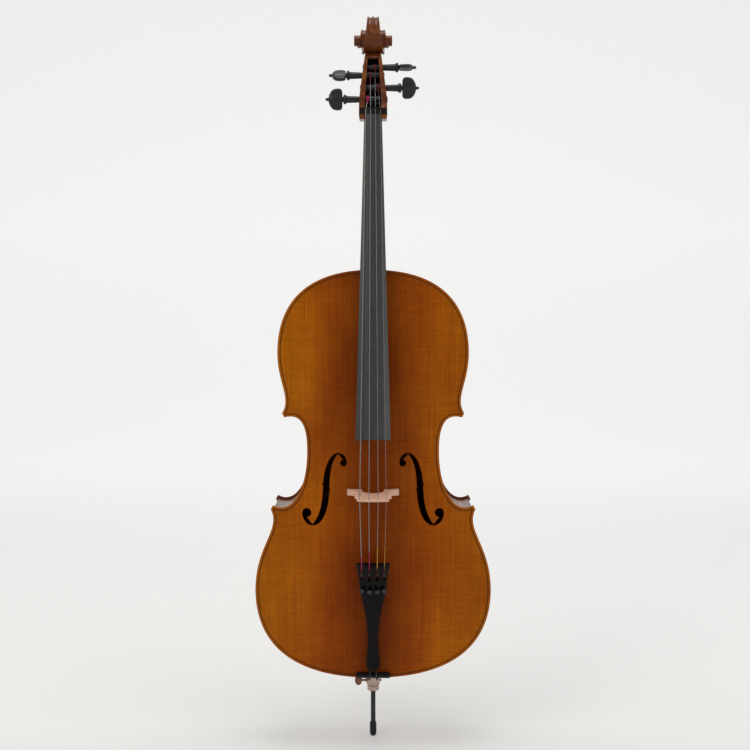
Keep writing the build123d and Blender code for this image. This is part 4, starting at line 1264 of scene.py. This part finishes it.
def tail_point(x, depth, s):
    """World position of a point given in the tailpiece's tilted frame, in millimetres."""
    down, out = TAIL_TILT
    return (x, TAIL_TOP[0] + depth * down + s * out, TAIL_TOP[1] + depth * out - s * down)


def tail_section(s):
    """The tailpiece's cross-section at a distance from its top: a round front, soft edges and a flat back."""
    reader = np.interp if s < 1 else through
    half = float(reader(s, TAIL_STATIONS, TAIL_HALVES))
    top_end = 1 - min(1.0, s)
    low_end = 1 - min(1.0, (TAIL_LENGTH - s) / 3.0)
    half -= 1.2 * top_end + 0.8 * low_end
    inset = 1.2 * top_end + 1.8 * low_end
    radius = TAIL_RADIUS - 26 * s / TAIL_LENGTH
    thick = 15 - 4 * s / TAIL_LENGTH
    string_rest = 0.9 * math.exp(-((s - 4.0) / 1.2) ** 2)
    ridge = float(np.interp(s, [60, 110, 200], [0, 1.2, 0.5]))
    front = []
    for u in np.linspace(-1, 1, 23):
        x = u * (half - 1.0)
        drop = radius - math.sqrt(radius ** 2 - x ** 2)
        front.append((x, drop + inset - string_rest - ridge * max(0.0, 1 - abs(u) * 1.6) * 0.5))
    edge = radius - math.sqrt(radius ** 2 - half ** 2) + inset
    right = [
        (half - 0.3, edge + 0.25), (half, edge + 1.1), (half, thick - 1.2 - inset),
        (half - 0.35, thick - 0.35 - inset), (half - 1.2, thick - inset),
    ]
    return front + right + [(-x, depth) for x, depth in right[::-1]]


def make_tailpiece():
    """The tailpiece: waisted, with slots and screw holes, and hollow behind the tuners."""
    stations = [0, 0.4, 1.0, 2.0, 2.6, 3.3, 4.0, 4.7, 5.4, 6.2, 8, *range(12, 206, 6)]
    stations += [208, 211, 213.5, 215.5, 217, 218.2, TAIL_LENGTH]
    sections = [[tail_point(x, depth, s) for x, depth in tail_section(s)] for s in stations]
    verts = metres(point for section in sections for point in section)
    faces = closed_tube(len(stations), len(sections[0]))
    tail = make_object(
        "tailpiece_moulded", verts, faces, BLACK_GLOSS, sharp=38, nodes=["tailpiece"],
    )
    half_turn = [(math.cos(a), math.sin(a)) for a in np.linspace(0, math.pi, 9)]
    slot = [(SLOT_HALF * c, SLOT_ENDS[0] - SLOT_HALF * s) for c, s in half_turn]
    slot += [(-SLOT_HALF * c, SLOT_ENDS[1] + SLOT_HALF * s) for c, s in half_turn]
    hole = [(SCREW_HOLE * c, SCREW_STATION + SCREW_HOLE * s) for c, s in circle(16)]
    cutters = []
    for string in STRINGS.values():
        for outline in (slot, hole):
            cutters.append(tail_prism([(string["tail"] + x, s) for x, s in outline], -8, 30))
    cutters.append(tail_prism([(27.6, 5), (23.2, 53), (-23.2, 53), (-27.6, 5)], 9, 30))
    bulk_cut(tail, cutters)
    finish_piece(tail, BLACK_GLOSS, sharp=38)


def tail_prism(outline, start, end):
    """A cutter: an outline in the tailpiece's face plane, run through its thickness."""
    count = len(outline)
    verts = [tail_point(x, depth, s) for depth in (start, end) for x, s in outline]
    faces = [(i, (i + 1) % count, count + (i + 1) % count, count + i) for i in range(count)]
    faces += [tuple(range(count))[::-1], tuple(range(count, 2 * count))]
    cutter = raw_object(verts, faces)
    work = bmesh.new()
    work.from_mesh(cutter.data)
    bmesh.ops.recalc_face_normals(work, faces=work.faces)
    work.to_mesh(cutter.data)
    work.free()
    return cutter


make_tailpiece()


def make_tuner_screw(name):
    """A tuner screw with a knurled, slightly domed head."""
    x = STRINGS[name]["tail"]
    top = TAIL_RADIUS - math.sqrt(TAIL_RADIUS ** 2 - x ** 2)
    teeth = 48
    low_end = top - 2.4
    high_end = top - 8.9
    rows = [
        (10.1, 1.0, 0), (9.6, 1.5, 0), (top - 0.6, 1.5, 0), (low_end + 0.7, 1.6, 0), (low_end, 3.4, 0),
        (low_end - 0.35, 4.2, 0), (low_end - 0.8, 4.7, 1), (high_end + 1.2, 4.7, 1),
        (high_end + 0.5, 4.25, 0), (high_end + 0.1, 3.3, 0), (high_end + 0.35, 2.2, 0),
        (high_end + 0.45, 0.6, 0),
    ]
    verts = []
    for depth, radius, knurled in rows:
        for k, (c, s) in enumerate(circle(teeth)):
            reach = radius - (0.32 if knurled and k % 2 else 0.0)
            verts.append(tail_point(x + reach * c, depth, SCREW_STATION + reach * s))
    make_object(
        "tuner_knob_" + name, metres(verts), closed_tube(len(rows), teeth), BLACK_METAL,
        f"tuner_screw_{name}_body", 30, ["tuner_screw_" + name],
    )


for name in STRINGS:
    make_tuner_screw(name)


# ---------------------------------------------------------------- endpin fittings

def hollow_lathe(profile, steps=64):
    """A turned ring about the endpin's axis, from a closed profile of (radius, height)."""
    verts = [(radius * c, radius * s, height) for radius, height in profile for c, s in circle(steps)]
    faces = grid_faces(len(profile), steps, wrap=True)
    last = (len(profile) - 1) * steps
    faces += [(last + k, last + (k + 1) % steps, (k + 1) % steps, k) for k in range(steps)]
    return metres(verts), faces


COLLAR = [
    (4.56, 89.4), (9.6, 89.4), (10.9, 89.7), (11.4, 90.4), (11.5, 91.4), (11.5, 98.2), (11.3, 98.7),
    (10.9, 99.0), (10.9, 99.5), (11.6, 99.8), (12.3, 100.4), (12.7, 101.6), (13.1, 108.0), (13.4, 113.0),
    (13.5, 114.0), (13.5, 129.4), (13.3, 130.2), (12.7, 130.6), (10.0, 130.6), (10.0, 134.9),
    (4.56, 134.9),
]
THUMBSCREW_Z = 107.5
verts, faces = hollow_lathe(COLLAR)
collar = make_object(
    "endpin_collar_turned", verts, faces, NICKEL, sharp=30, nodes=["endpin_collar"],
)
bores = []
for profile in ([(-13.6, 3.05), (-9.0, 3.05), (-4.0, 3.05)], [(4.0, 2.05), (14.0, 2.05)]):
    verts, faces = lathe(profile)
    bores.append(raw_object(verts + np.array((0, 0, THUMBSCREW_Z)), faces))
bulk_cut(collar, bores)
finish_piece(collar, NICKEL, sharp=30)

TIP = [
    (0.0, 1.2), (0.35, 2.9), (1.2, 4.3), (2.6, 5.4), (4.6, 6.05), (7.0, 6.3), (24.4, 6.3), (25.6, 6.25),
    (26.3, 6.0), (26.6, 5.7), (27.1, 5.5), (27.6, 4.9),
]
verts, faces = lathe(TIP, "Z", 48)
make_object(
    "endpin_tip_rounded", metres(verts), faces, RUBBER, "endpin_body", 45, ["endpin_tip"],
)


def make_thumbscrew():
    """A thumbscrew with a flat oval leaf."""
    leaf = []
    rows, steps = 17, 36
    for i in range(rows):
        polar = math.pi * (i + 0.001) / (rows - 1 + 0.002)
        thick = math.copysign(abs(math.cos(polar)) ** 0.7, math.cos(polar)) * 2.4
        for c, s in circle(steps):
            dish = 1 - 0.25 * math.sin(polar) ** 4 * c ** 2
            leaf.append((-28 + 7 * math.sin(polar) * c, thick * dish, 10 * math.sin(polar) * s))
    rod = lathe([(-23.0, 2.0), (-20.5, 1.9), (-15.4, 2.0), (-14.4, 3.0), (-4.8, 3.0), (-4.6, 2.6)])
    verts, faces = merge((leaf, closed_tube(rows, steps)), rod)
    verts = metres(np.array(verts) + (0, 0, THUMBSCREW_Z))
    make_object(
        "thumbscrew_with_leaf", verts, faces, BROWN_LEAF, "thumbscrew_body", 40,
        ["endpin_thumbscrew"],
    )


make_thumbscrew()


# ---------------------------------------------------------------- CAD pieces that stay in view

SIDES = ("bass", "treble")
PAINT = {
    MAPLE_RIB: [f"rib_{bout}_{side}" for bout in ("lower", "waist", "upper") for side in SIDES],
    INSIDE: ["bass_bar", "end_block", "endpin_plug", "linings_back", "linings_front", "neck_block"]
    + ["sound_post"] + [f"corner_block_{bout}_{side}" for bout in ("lower", "upper") for side in SIDES],
    PURFLING: ["purfling_back", "purfling_front"],
    EBONY: ["fingerboard"],
    EBONY_DARK: ["nut", "saddle"],
    BLACK_METAL: ["tuner_pivot_pin"]
    + [part + name for part in ("tuner_lever_", "string_ball_") for name in STRINGS],
    CORD: ["tail_cord"],
    NICKEL: ["endpin_set_screw"],
    ROD_METAL: ["endpin_rod"],
}
for paint, names in PAINT.items():
    for node in names:
        repaint(node, paint)
